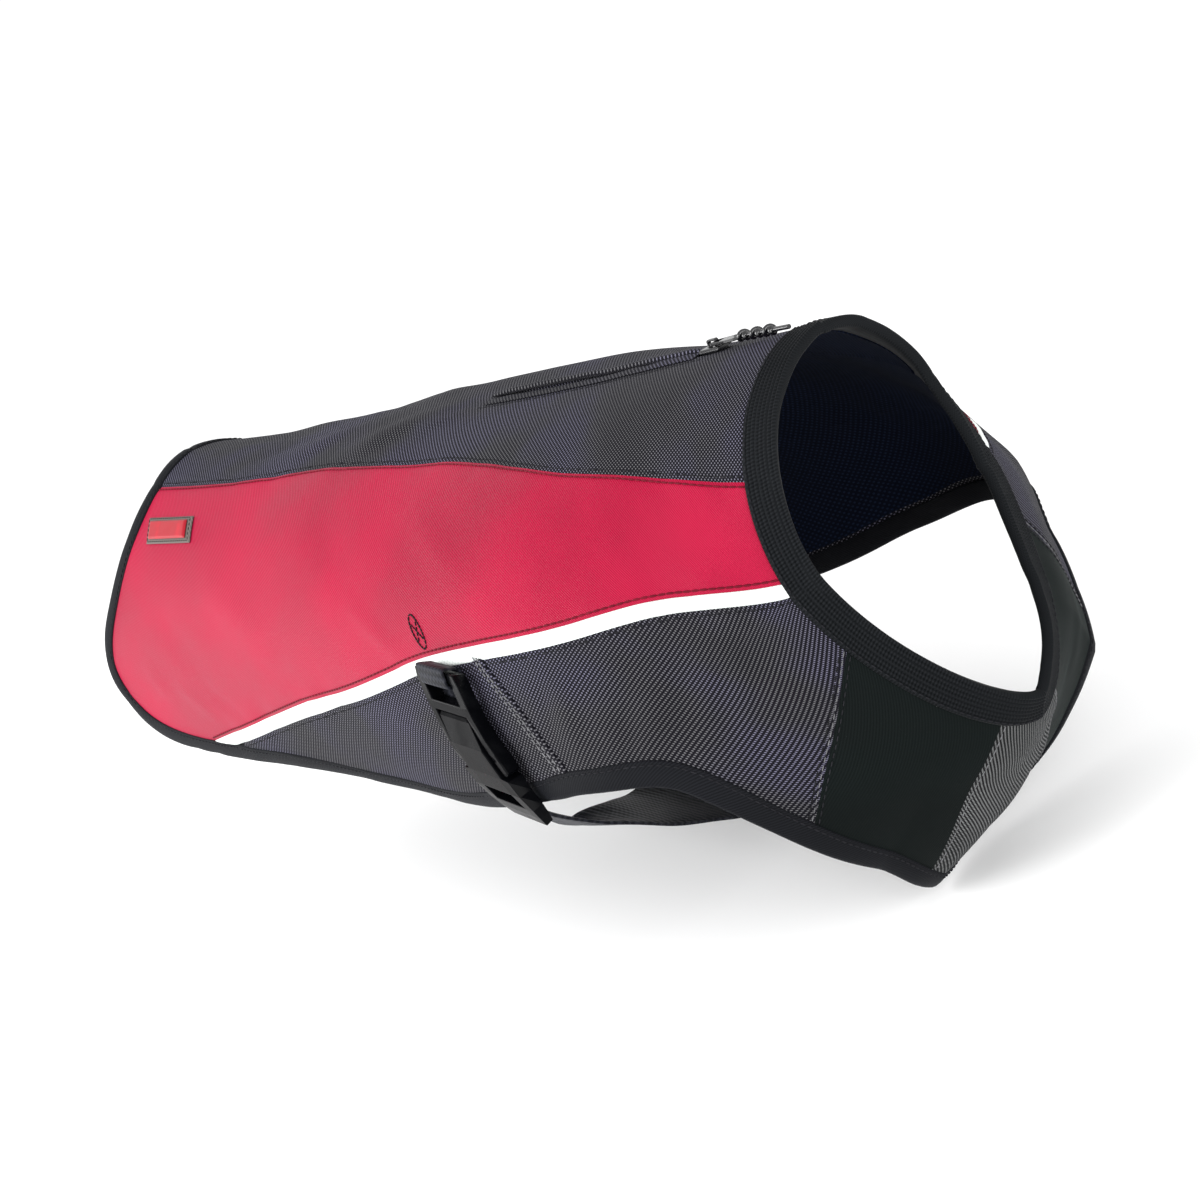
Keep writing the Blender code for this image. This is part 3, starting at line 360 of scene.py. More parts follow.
def hemCrossing(seam, inset):
    stops = np.linspace(0, edgeTotal * 0.45, 900)
    rows = edgePlace(stops, inset)
    off = rows[:, 1] - seam(rows[:, 0])
    k = int(np.argmax(off > 0))
    return float(np.interp(0.0, off[k - 1:k + 1], stops[k - 1:k + 1]))


def nearestStop(place, inset):
    stops = np.linspace(0, edgeTotal, 1400)
    off = np.linalg.norm(lifted(edgePlace(stops, inset)) - lifted(place), axis=-1)
    return float(stops[np.argmin(off)])


def seamRows(seam, first, inset):
    last = 0.96
    for _ in range(6):
        last = float(neckAlong(seam(np.array([last])), inset)[0])
    behind, beside, ahead = cutLines["rowSteps"]
    along = np.concatenate([
        np.linspace(first, cutLines["zipStart"], behind + 1),
        np.linspace(cutLines["zipStart"], cutLines["zipEnd"], beside + 1)[1:],
        np.linspace(cutLines["zipEnd"], last, ahead + 1)[1:],
    ])
    return np.stack([along, seam(along)], -1)


def sideways(rows, shift, axis=1):
    # moved around the tube, + away from the spine
    moved = rows.copy()
    moved[:, axis] += shift / stepSizes(rows[:, 0], rows[:, 1])[axis]
    return moved


def lengthways(rows, shift):
    # moved along the tube, + towards the neck
    return sideways(rows, shift, 0)


def straight(start, stop, count):
    t = np.linspace(0, 1, count)[:, None]
    return np.asarray(start, float) * (1 - t) + np.asarray(stop, float) * t


def resampled(rows, count):
    return between(np.linspace(0, 1, count), np.linspace(0, 1, len(rows)), rows)


def patch(low, high, left, right):
    # places between four edges; the ends' own curves fade out quickly
    u = np.linspace(0, 1, len(low))[:, None, None]
    v = np.linspace(0, 1, len(left))[None, :, None]
    ruled = (1 - v) * low[:, None] + v * high[:, None]
    fromLeft = left[None] - (1 - v) * left[0] - v * left[-1]
    fromRight = right[None] - (1 - v) * right[0] - v * right[-1]
    return ruled + (1 - u) ** 3 * fromLeft + u ** 3 * fromRight


def mirrored(grid):
    other = np.array(grid, float)
    other[..., 1] = -other[..., 1]
    return other


def onSide(grid, sign):
    return np.asarray(grid) if sign > 0 else mirrored(grid)


sides = (("left", 1), ("right", -1))
seamGap = 0.01  # what shows of the seams' own gaps
inset = cutLines["edgeTape"] + seamGap
neckInset = cutLines["neckTape"] + seamGap
half = seamGap / 2
crossing = [hemCrossing(seam, inset) for seam in (backSeam, stripTop, stripFoot)]
backRows, topRows, footRows = (
    seamRows(seam, float(edgePlace(stop, inset)[0]), neckInset)
    for seam, stop in zip((backSeam, stripTop, stripFoot), crossing)
)
pleatRows = smoothRows(cutLines["pleat"], np.linspace(0, 1, 41))
pleatRows[0, 1] = stripFoot(pleatRows[0, 0])
pleatStop = nearestStop(pleatRows[-1], inset)
pleatRows[-1] = edgePlace(pleatStop, inset)
shoulderStop = nearestStop(cutLines["shoulderFoot"], inset)
chestStop = nearestStop(cutLines["chestFoot"], inset)
strapStop = nearestStop(cutLines["strapCorner"], inset)
neckA, neckB, neckC = (rows[-1, 1] for rows in (backRows, topRows, footRows))
shoulderRows = straight(
    neckRows([cutLines["shoulderTop"]], neckInset)[0], edgePlace(shoulderStop, inset), 45)
chestRows = straight(
    neckRows([cutLines["chestTop"]], neckInset)[0], edgePlace(chestStop, inset), 45)
print("pattern laid out, edge", round(float(edgeTotal)), "mm on each side")

# finishes
finishes = {
    # colours of the dark and light yarns (and of a bluer lot), the kind of weave and its
    # pitch in mm, how rough, glossy and bumpy (mm) it is, its sheen, how uneven its shade is
    "greyWeave": {
        "dark": (0.004, 0.0036, 0.006), "light": (0.108, 0.107, 0.112),
        "cast": (0.103, 0.1, 0.142),
        "kind": "dots", "pitch": (0.92, 0.76), "roughness": 0.75, "gloss": 0.07, "bump": 0.1,
        "sheen": 0.015, "tint": (0.8, 0.8, 1.0), "patchy": 0.22, "slot": "grey_weave",
    },
    # the grey weave again with lighter yarns: painted light, where the chest faces the lamps
    "chestWeavePaintedLight": {
        "dark": (0.006, 0.0065, 0.007), "light": (0.22, 0.225, 0.225),
        "kind": "dots", "pitch": (0.92, 0.76), "roughness": 0.75, "gloss": 0.07, "bump": 0.1,
        "sheen": 0.015, "tint": (0.9, 0.9, 1.0), "patchy": 0.18, "slot": "grey_weave",
    },
    "crimsonTwill": {
        "dark": (0.19, 0.001, 0.011), "light": (0.345, 0.004, 0.04),
        "kind": "twill", "pitch": (0.62, 0.62), "roughness": 0.44, "gloss": 0.1, "bump": 0.08,
        "sheen": 0.03, "tint": (1.0, 0.35, 0.6), "patchy": 0.13, "slot": "crimson_twill",
    },
    "reflectiveStrip": {
        "dark": (0.58, 0.62, 0.6), "light": (0.72, 0.75, 0.73),
        "kind": "plain", "pitch": (0.9, 0.9), "roughness": 0.4, "gloss": 0.3, "bump": 0.02,
        "sheen": 0.0, "tint": (1.0, 1.0, 1.0), "patchy": 0.03, "slot": "reflective_strip",
    },
    "blackStretch": {
        "dark": (0.0014, 0.0026, 0.0025), "light": (0.0038, 0.0056, 0.0055),
        "kind": "plain", "pitch": (0.5, 0.5), "roughness": 0.7, "gloss": 0.05, "bump": 0.03,
        "sheen": 0.02, "tint": (0.8, 1.0, 0.95), "patchy": 0.2, "slot": "black_stretch",
    },
    "ribbedElastic": {
        "dark": (0.0024, 0.003, 0.0036), "light": (0.008, 0.009, 0.0105),
        "kind": "plain", "pitch": (0.55, 4.0), "roughness": 0.66, "gloss": 0.06, "bump": 0.04,
        "sheen": 0.03, "tint": (1.0, 1.0, 1.0), "patchy": 0.15, "slot": "ribbed_elastic",
    },
    "bindingTape": {
        "dark": (0.002, 0.0022, 0.003), "light": (0.007, 0.0075, 0.0095),
        "kind": "twill", "pitch": (0.6, 0.6), "roughness": 0.66, "gloss": 0.06, "bump": 0.05,
        "sheen": 0.02, "tint": (0.8, 0.85, 1.0), "patchy": 0.15, "slot": "binding_tape",
    },
    "navyLining": {
        "dark": (0.0018, 0.003, 0.008), "light": (0.006, 0.01, 0.024),
        "kind": "dots", "pitch": (1.3, 1.1), "roughness": 0.85, "gloss": 0.04, "bump": 0.06,
        "sheen": 0.0, "tint": (1.0, 1.0, 1.0), "patchy": 0.25, "slot": "navy_lining",
    },
    "blackWebbing": {
        "dark": (0.003, 0.0035, 0.006), "light": (0.014, 0.015, 0.021),
        "kind": "webbing", "pitch": (1.5, 1.0), "roughness": 0.55, "gloss": 0.12, "bump": 0.12,
        "sheen": 0.02, "tint": (0.8, 0.85, 1.0), "patchy": 0.15, "slot": "black_webbing",
    },
    "taupeLabel": {
        "dark": (0.065, 0.055, 0.048), "light": (0.125, 0.105, 0.095),
        "kind": "twill", "pitch": (0.7, 0.7), "roughness": 0.6, "gloss": 0.15, "bump": 0.05,
        "sheen": 0.03, "tint": (1.0, 1.0, 1.0), "patchy": 0.12, "slot": "taupe_label",
    },
}
hardFinishes = {
    # colour, roughness, gloss, how fine the grain is, its depth in mm
    "blackPlastic": ((0.0012, 0.0013, 0.0018), 0.22, 0.035, 900.0, 0.03),
    "blackMetal": ((0.003, 0.003, 0.004), 0.14, 0.6, 400.0, 0.01),
    "labelRed": ((0.27, 0.006, 0.014), 0.36, 0.2, 700.0, 0.03),
    "cordShine": ((0.003, 0.003, 0.004), 0.16, 0.7, 1500.0, 0.05),
    "darkThread": ((0.10, 0.003, 0.010), 0.6, 0.1, 2500.0, 0.02),
    "blackThread": ((0.006, 0.006, 0.007), 0.6, 0.1, 2500.0, 0.02),
    "paleThread": ((0.105, 0.105, 0.11), 0.6, 0.15, 2500.0, 0.02),
    "dimThread": ((0.010, 0.010, 0.012), 0.6, 0.08, 2500.0, 0.02),
}


def calc(tree, operation, *values):
    # a maths node fed by sockets or numbers
    node = tree.nodes.new("ShaderNodeMath")
    node.operation = operation
    for k, value in enumerate(values):
        if isinstance(value, (int, float)):
            node.inputs[k].default_value = value
        else:
            tree.links.new(value, node.inputs[k])
    return node.outputs[0]


def mapped(tree, value, low, high, toLow=0.0, toHigh=1.0):
    node = tree.nodes.new("ShaderNodeMapRange")
    node.interpolation_type = "SMOOTHSTEP"
    tree.links.new(value, node.inputs["Value"])
    node.inputs["From Min"].default_value = low
    node.inputs["From Max"].default_value = high
    node.inputs["To Min"].default_value = toLow
    node.inputs["To Max"].default_value = toHigh
    return node.outputs["Result"]


def mixed(tree, share, dark, light):
    node = tree.nodes.new("ShaderNodeMix")
    node.data_type = "RGBA"
    tree.links.new(share, node.inputs[0])
    for socket, colour in ((node.inputs[6], dark), (node.inputs[7], light)):
        if isinstance(colour, tuple):
            socket.default_value = (*colour, 1.0)
        else:
            tree.links.new(colour, socket)
    return node.outputs[2]


def noise(tree, place, scale, detail):
    node = tree.nodes.new("ShaderNodeTexNoise")
    node.inputs["Scale"].default_value = scale
    node.inputs["Detail"].default_value = detail
    tree.links.new(place, node.inputs["Vector"])
    return node.outputs[0]


def roughen(tree, shader, height, strength, depth):
    # a bump of depth mm in the finish
    bump = tree.nodes.new("ShaderNodeBump")
    bump.inputs["Strength"].default_value = strength
    bump.inputs["Distance"].default_value = depth * 0.001
    tree.links.new(height, bump.inputs["Height"])
    tree.links.new(bump.outputs[0], shader.inputs["Normal"])


def bareMaterial(name, roughness, gloss):
    made = bpy.data.materials.new(name)
    made.use_nodes = True
    shader = made.node_tree.nodes["Principled BSDF"]
    shader.inputs["Roughness"].default_value = roughness
    shader.inputs["Specular IOR Level"].default_value = gloss
    return made, made.node_tree, shader


def clothSpots(tree, kind, across, down, pitch):
    # how much of the light yarn shows at a place, 0 to 1
    u = calc(tree, "MULTIPLY", across, pi / pitch[0])
    v = calc(tree, "MULTIPLY", down, pi / pitch[1])
    if kind == "dots":
        both = calc(tree, "MULTIPLY", calc(tree, "COSINE", u), calc(tree, "COSINE", v))
        return mapped(tree, both, 0.18, 0.72), both
    if kind == "twill":
        slant = calc(tree, "SINE", calc(tree, "ADD", u, v))
        cross = calc(tree, "SINE", calc(tree, "MULTIPLY", calc(tree, "SUBTRACT", u, v), 2.0))
        both = calc(tree, "ADD", calc(tree, "MULTIPLY", slant, 0.65), calc(tree, "MULTIPLY", cross, 0.35))
        return mapped(tree, both, -0.9, 0.9), both
    if kind == "webbing":
        zig = calc(tree, "ABSOLUTE", calc(tree, "SINE", calc(tree, "MULTIPLY", v, 0.5)))
        both = calc(tree, "SINE", calc(tree, "ADD", u, calc(tree, "MULTIPLY", zig, 2.2)))
        return mapped(tree, both, -0.6, 0.9), both
    both = calc(tree, "MULTIPLY", calc(tree, "SINE", u), calc(tree, "SINE", v))
    return mapped(tree, both, -0.6, 0.6), both


def clothMaterial(name):
    spec = finishes[name]
    made, tree, shader = bareMaterial(name, spec["roughness"], spec["gloss"])
    coords = tree.nodes.new("ShaderNodeUVMap")
    coords.uv_map = "weave"
    split = tree.nodes.new("ShaderNodeSeparateXYZ")
    tree.links.new(coords.outputs[0], split.inputs[0])
    across = calc(tree, "MULTIPLY", split.outputs[0], 1000.0)
    down = calc(tree, "MULTIPLY", split.outputs[1], 1000.0)
    # the yarns wander a little, as woven cloth does
    drift = calc(tree, "MULTIPLY", noise(tree, coords.outputs[0], 30.0, 1.0), 0.5)
    across = calc(tree, "ADD", across, drift)
    down = calc(tree, "ADD", down, drift)
    share, height = clothSpots(tree, spec["kind"], across, down, spec["pitch"])
    worn = noise(tree, coords.outputs[0], 14.0, 4.0)
    # some lots of yarn are bluer than others
    yarn = spec["light"]
    if "cast" in spec:
        yarn = mixed(tree, mapped(tree, worn, 0.44, 0.62), spec["light"], spec["cast"])
    colour = mixed(tree, share, spec["dark"], yarn)
    shade = mapped(tree, worn, 0.3, 0.7, 1 - spec["patchy"], 1 + spec["patchy"])
    scaled = tree.nodes.new("ShaderNodeVectorMath")
    scaled.operation = "SCALE"
    tree.links.new(colour, scaled.inputs[0])
    tree.links.new(shade, scaled.inputs["Scale"])
    tree.links.new(scaled.outputs[0], shader.inputs["Base Color"])
    rough = mapped(tree, worn, 0.3, 0.7, spec["roughness"] - 0.06, spec["roughness"] + 0.06)
    tree.links.new(rough, shader.inputs["Roughness"])
    roughen(tree, shader, height, 0.6, spec["bump"])
    shader.inputs["Sheen Weight"].default_value = spec["sheen"]
    shader.inputs["Sheen Roughness"].default_value = 0.4
    shader.inputs["Sheen Tint"].default_value = (*spec["tint"], 1.0)
    return made


def hardMaterial(name, colour, roughness, gloss, grain, depth):
    # moulded plastic or painted metal: fine grain and faint scuffs
    made, tree, shader = bareMaterial(name, roughness, gloss)
    place = tree.nodes.new("ShaderNodeTexCoord").outputs["Object"]
    fine = noise(tree, place, grain, 3.0)
    broad = noise(tree, place, 120.0, 5.0)
    scuffed = mapped(tree, broad, 0.45, 0.75)
    pale = tuple(min(1.0, c * 1.5 + 0.0015) for c in colour)
    tree.links.new(mixed(tree, scuffed, colour, pale), shader.inputs["Base Color"])
    rough = mapped(tree, broad, 0.3, 0.7, roughness - 0.05, roughness + 0.07)
    tree.links.new(rough, shader.inputs["Roughness"])
    roughen(tree, shader, fine, 0.25, depth)
    return made


materials = {name: clothMaterial(name) for name in finishes}
for name, look in hardFinishes.items():
    materials[name] = hardMaterial(name, *look)
print("finishes mixed:", len(materials))


# mesh helpers
def makePiece(name, points, quads, finish, body="jacket", uv=None, slot=None, sharp=40.0):
    # points in mm, quads as rows of four corners (a repeated corner makes a triangle)
    mesh = bpy.data.meshes.new(name)
    points = np.asarray(points, float)
    quads = np.asarray(quads, int)
    mesh.vertices.add(len(points))
    mesh.vertices.foreach_set("co", (points * 0.001).astype(np.float32).ravel())
    three = quads[:, 2] == quads[:, 3]
    sizes = np.where(three, 3, 4)
    loops = quads.ravel()[np.column_stack([np.ones((len(quads), 3), bool), ~three]).ravel()]
    starts = np.concatenate([[0], np.cumsum(sizes)[:-1]])
    mesh.loops.add(len(loops))
    mesh.loops.foreach_set("vertex_index", loops.astype(np.int32))
    mesh.polygons.add(len(quads))
    mesh.polygons.foreach_set("loop_start", starts.astype(np.int32))
    mesh.update(calc_edges=True)
    layer = mesh.uv_layers.new(name="weave")
    if uv is not None:
        flat = (np.asarray(uv, float).reshape(-1, 2)[loops] * 0.001).astype(np.float32)
        layer.data.foreach_set("uv", flat.ravel())
    mesh.validate()
    mesh.materials.append(materials[finish])
    piece = newObject(name, mesh)
    mesh.shade_smooth()
    mesh.set_sharp_from_angle(angle=radians(sharp))
    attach(piece, body)
    slot = slot or finishes.get(finish, {}).get("slot")
    return piece


def volumeSign(points, quads):
    a, b, c, d = (points[quads[:, k]] for k in range(4))
    total = (a * np.cross(b, c)).sum() + (a * np.cross(c, d)).sum()
    return 1 if total > 0 else -1


def gridBody(top, under, keep=None):
    # quads of a closed shell between two equal grids; keep marks the cells used
    rows, columns = top.shape[:2]
    count = rows * columns
    index = np.arange(count).reshape(rows, columns)
    if keep is None:
        keep = np.ones((rows - 1, columns - 1), bool)
    cell = np.stack([index[:-1, :-1], index[1:, :-1], index[1:, 1:], index[:-1, 1:]], -1)
    quads = [cell[keep], cell[keep][:, ::-1] + count]
    wide = np.pad(keep, 1)
    for di, dj, a, b in ((0, -1, 0, 1), (1, 0, 1, 2), (0, 1, 2, 3), (-1, 0, 3, 0)):
        other = wide[1 + di:rows + di, 1 + dj:columns + dj]
        rim = cell[keep & ~other]
        quads.append(np.stack([rim[:, b], rim[:, a], rim[:, a] + count, rim[:, b] + count], -1))
    quads = np.concatenate(quads)
    points = np.concatenate([top.reshape(-1, 3), under.reshape(-1, 3)])
    return points, facingOut(points, quads)


def weaveMap(grid):
    # weave coordinates in mm: along the tube, and round it
    grid = np.asarray(grid, float)
    along = grid[..., 0]
    low = tube(along, np.full_like(along, 60.0))
    high = tube(along, np.full_like(along, 61.0))
    perDegree = np.linalg.norm(high - low, axis=-1)
    return np.stack([along * alongScale, grid[..., 1] * perDegree], -1)


def cloth(name, grid, outer, inner, finish, replaces, restsOn=None, keep=None):
    # a panel between two heights over the tube; restsOn only decides whether declareCloth runs, which leaves
    # the piece as it is
    points, quads = gridBody(lifted(grid, outer), lifted(grid, inner), keep)
    uv = weaveMap(grid).reshape(-1, 2)
    piece = makePiece(name, points, quads, finish, uv=np.concatenate([uv, uv]))
    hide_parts(replaces)
    if restsOn:
        declareCloth(grid)
    return piece


def declareCloth(grid):
    # the panel's surface points in metres, worked out and left unused
    points = lifted(grid) * 0.001


def ringQuads(index):
    # quads between each ring of corners and the next one
    quads = [index[:-1], np.roll(index[:-1], -1, 1), np.roll(index[1:], -1, 1), index[1:]]
    return np.stack(quads, -1).reshape(-1, 4)


def facingOut(points, quads, tested=None):
    # the same faces, turned if the body is inside out
    if volumeSign(points[:tested], quads) > 0:
        return quads
    return np.where((quads[:, 2] == quads[:, 3])[:, None], quads[:, [1, 0, 2, 3]], quads[:, ::-1])


def loftPiece(name, rings, finish, replaces, body="jacket", closed=False, sharp=75.0, slot=None):
    rings = np.asarray(rings, float)
    count, size = rings.shape[:2]
    index = np.arange(count * size).reshape(count, size)
    points = rings.reshape(-1, 3)
    if closed:
        quads = ringQuads(np.vstack([index, index[:1]]))
    else:
        quads = [ringQuads(index)]
        points = np.concatenate([points, [rings[0].mean(0), rings[-1].mean(0)]])
        for ring, hub, flip in ((index[0], count * size, True), (index[-1], count * size + 1, False)):
            other = np.roll(ring, -1)
            hubs = np.full(size, hub)
            fan = [other, ring, hubs, hubs] if flip else [ring, other, hubs, hubs]
            quads.append(np.stack(fan, -1))
        quads = np.concatenate(quads)
    quads = facingOut(points, quads)
    run = runLength(rings.mean(1))[:, None]
    uv = np.stack(np.broadcast_arrays(run, runLength(rings[0])[None]), -1).reshape(-1, 2)
    uv = np.concatenate([uv, np.zeros((len(points) - len(uv), 2))])
    piece = makePiece(name, points, quads, finish, body, uv, slot, sharp)
    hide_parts(replaces)


def sweep(path, radius, sides=8):
    # rings of a round tube along a path, turned as little as possible
    path = np.asarray(path, float)
    run = np.gradient(path, axis=0)
    run /= np.linalg.norm(run, axis=1, keepdims=True)
    side = np.cross(run[0], (0.3, 0.2, 1.0))
    rings = []
    radius = np.broadcast_to(radius, len(path))
    turn = np.linspace(0, 2 * pi, sides, endpoint=False)
    for centre, ahead, size in zip(path, run, radius):
        side = side - ahead * (side @ ahead)
        side /= np.linalg.norm(side)
        other = np.cross(ahead, side)
        rings.append(centre + size * (np.cos(turn)[:, None] * side + np.sin(turn)[:, None] * other))
    return np.array(rings)


def stitchRow(places, pitch=3.0, length=2.1, width=0.3, height=0.15, base=None):
    # small raised threads laid along a line of places
    points = lifted(places, height if base is None else base + height)
    normal = tubeNormals(places[:, 0], places[:, 1])
    run = runLength(points)
    count = max(int(run[-1] / pitch), 1)
    start = (np.arange(count) + 0.5) * run[-1] / count
    shape = ((-0.5, 0.35), (-0.28, 1.0), (0.28, 1.0), (0.5, 0.35))
    sections = []
    for share, size in shape:
        where = start + share * length
        centre = between(where, run, points)
        out = between(where, run, normal)
        out /= np.linalg.norm(out, axis=1, keepdims=True)
        side = np.cross(out, between(where + 0.2, run, points) - between(where - 0.2, run, points))
        side /= np.linalg.norm(side, axis=1, keepdims=True) + 1e-9
        corners = []
        for c, s in ((1, 0), (0.3, 0.9), (-0.8, 0.5), (-0.8, -0.5), (0.3, -0.9)):
            corners.append(centre + size * width * (out * c + side * s))
        sections.append(np.stack(corners, 1))
    return np.stack(sections, 1)  # stitch, section, corner, xyz


def shortTubes(name, blocks, finish, slot=None):
    # many five-sided tubes in one piece: tube, section, corner, xyz
    count, sections, size = blocks.shape[:3]
    one = np.arange(sections * size).reshape(sections, size)
    a, b, c, d, e = one[0]
    f, g, h, i, j = one[-1]
    ends = [[d, c, b, a], [e, d, a, a], [f, g, h, i], [f, i, j, j]]
    points = blocks.reshape(-1, 3)
    quads = facingOut(points, np.concatenate([ringQuads(one), ends]), sections * size)
    quads = quads[None] + (np.arange(count) * sections * size)[:, None, None]
    makePiece(name, points, quads.reshape(-1, 4), finish, slot=slot, sharp=80.0)


# side panels, reflective strips and their lining
sidePanel = {"columns": 62, "thick": 1.2, "liningThick": 0.9, "stripRaise": 0.5}


def makeSides():
    spec = sidePanel
    low = sideways(backRows, half)
    high = sideways(topRows, -half)
    left = edgePlace(np.linspace(crossing[0], crossing[1], spec["columns"]), inset)
    right = neckRows(np.linspace(neckA, neckB, spec["columns"]), neckInset)
    grid = patch(low, high, left, right)
    stripLow = sideways(topRows, half)
    stripHigh = sideways(footRows, -half)
    shares = np.array([0.0, 0.06, 0.2, 0.5, 0.8, 0.94, 1.0])
    strip = stripLow[:, None] * (1 - shares[None, :, None]) + stripHigh[:, None] * shares[None, :, None]
    crown = spec["stripRaise"] * np.array([0.15, 0.8, 1.0, 1.0, 1.0, 0.8, 0.15])
    both = np.concatenate([grid[::2, ::2], strip[::2, -1:]], 1)
    low = -spec["thick"] - gap
    for side, sign in sides:
        liner = "lining_side_" + side
        cloth("sidePanel." + side, onSide(grid, sign), 0.0, -spec["thick"], "crimsonTwill",
              "side_panel_" + side, [liner])
        cloth("reflectiveStrip." + side, onSide(strip, sign), crown[None], -spec["thick"],
              "reflectiveStrip", "reflective_strip_" + side, [liner])
        cloth("sideLining." + side, onSide(both, sign), low, low - spec["liningThick"],
              "navyLining", liner, ["sidePanel." + side])


makeSides()
print("side panels and strips sewn")

# back panel with the zip's slot
backPanel = {"columns": 23, "thick": 1.2, "liningThick": 0.9, "slotRoom": 0.8}


def makeBack():
    spec = backPanel
    seam = sideways(backRows, -half)
    dense = np.linspace(0, crossing[0], 400)
    hem = edgePlace(dense, inset)
    perDegree = stepSizes(seam[:, 0], np.ones(len(seam)))[1]
    slot = cutLines["slotHalf"] / perDegree
    wide = (cutLines["tapeHalf"] + spec["slotRoom"]) / perDegree
    rows = np.linspace(1, 0, len(seam))
    arounds = [slot, slot * 0.6 + wide * 0.4] + [
        wide + (seam[:, 1] - wide) * share for share in np.linspace(0, 1, spec["columns"])]
    columns = []
    for around in arounds:
        hemShift = np.interp(around[0], hem[:, 1], hem[:, 0]) - seam[0, 0]
        neckShift = neckRows([around[-1]], neckInset)[0, 0] - seam[-1, 0]
        ends = np.clip(4 * rows - 3, 0, 1) * hemShift + np.clip(1 - 7 * rows, 0, 1) * neckShift
        columns.append(np.stack([seam[:, 0] + ends, around], -1))
    halfBack = np.stack(columns, 1)
    grid = np.concatenate([mirrored(halfBack)[:, ::-1], halfBack], 1)
    middle = halfBack.shape[1] - 1
    behind, beside, _ = cutLines["rowSteps"]
    keep = np.ones((grid.shape[0] - 1, grid.shape[1] - 1), bool)
    keep[behind:behind + beside, middle] = False
    cloth("backPanel", grid, 0.0, -spec["thick"], "greyWeave", "back_panel", ["lining_back"],
          keep=keep)
    coarse = grid[::2]
    keep = np.ones((coarse.shape[0] - 1, grid.shape[1] - 1), bool)
    keep[behind // 2 - 1:(behind + beside) // 2 + 1, middle - 2:middle + 3] = False
    low = -spec["thick"] - gap
    cloth("backLining", coarse, low, low - spec["liningThick"], "navyLining", "lining_back",
          ["backPanel"], keep=keep)


makeBack()
print("back panel sewn")

# flanks: the rear one is folded over the front one at the pleat
flankPanel = {"columns": 44, "thick": 1.2, "liningThick": 0.9, "bandRaise": 1.0, "bandSoft": 0.9}


def bandHeight(grid):
    # the folded band stands up beside the pleat's edge
    around = grid[..., 1]
    edgeAlong = np.interp(around, pleatRows[:, 1], pleatRows[:, 0])
    off = (edgeAlong - grid[..., 0]) * stepSizes(grid[..., 0], around)[0]
    top, foot = cutLines["pleatBand"]
    wide = np.interp(around, (pleatRows[0, 1], pleatRows[-1, 1]), (top, foot))
    t = np.clip((wide + 0.3 - off) / flankPanel["bandSoft"], 0, 1)
    edgeRoll = np.clip(off / 0.8, 0, 1) * 0.45 + 0.55
    return flankPanel["bandRaise"] * t * t * (3 - 2 * t) * edgeRoll


def makeFlanks():
    spec = flankPanel
    seam = sideways(footRows, half)
    topStop = pleatRows[0, 0]
    perMm = 1 / stepSizes(topStop, pleatRows[0, 1])[0]
    count = spec["columns"]

    def onSeam(along):
        return np.stack([along, np.interp(along, seam[:, 0], seam[:, 1])], -1)

    tip = seam[0, 0] + cutLines["corner"] * perMm
    split = topStop - 12 * perMm
    low = onSeam(np.concatenate([
        np.linspace(tip, split, 62), np.linspace(split, topStop - half * perMm, 30)[1:]]))
    first = crossing[2] + cutLines["corner"]
    stops = np.concatenate([
        np.linspace(first, pleatStop - 22, 62), np.linspace(pleatStop - 22, pleatStop - half, 30)[1:]])
    high = edgePlace(stops, inset)
    right = resampled(lengthways(pleatRows, -half), count)
    right[0] = low[-1]
    right[-1] = high[-1]
    left = straight(low[0], high[0], count)
    rear = patch(low, high, left, right)
    low = onSeam(np.linspace(topStop + half * perMm, seam[-1, 0], 64))
    high = edgePlace(np.linspace(pleatStop + half, shoulderStop - half, 64), inset)
    neck = neckRows(np.linspace(neckC, cutLines["shoulderTop"], 13), neckInset)
    right = np.vstack([neck[:-1], resampled(sideways(shoulderRows, -half), 36)])
    right[0] = low[-1]
    right[-1] = high[-1]
    left = resampled(lengthways(pleatRows, half), len(right))
    left[0] = low[0]
    left[-1] = high[0]
    front = patch(low, high, left, right)
    under = -spec["thick"] - gap
    for side, sign in sides:
        cloth("rearFlank." + side, onSide(rear, sign), bandHeight(rear), -spec["thick"],
              "greyWeave", "rear_flank_" + side, ["lining_rear_" + side])
        cloth("frontFlank." + side, onSide(front, sign), 0.0, -spec["thick"],
              "greyWeave", "front_flank_" + side, ["lining_front_" + side])
        for word, grid in (("rear", rear), ("front", front)):
            cloth(word + "Lining." + side, onSide(grid, sign)[:, ::2], under,
                  under - spec["liningThick"], "navyLining", "lining_" + word + "_" + side,
                  [word + "Flank." + side])


makeFlanks()
print("flanks sewn")

# stretch shoulders and the chest between them
chestSet = {"stretchThick": 1.8, "chestThick": 1.8, "columns": 40}


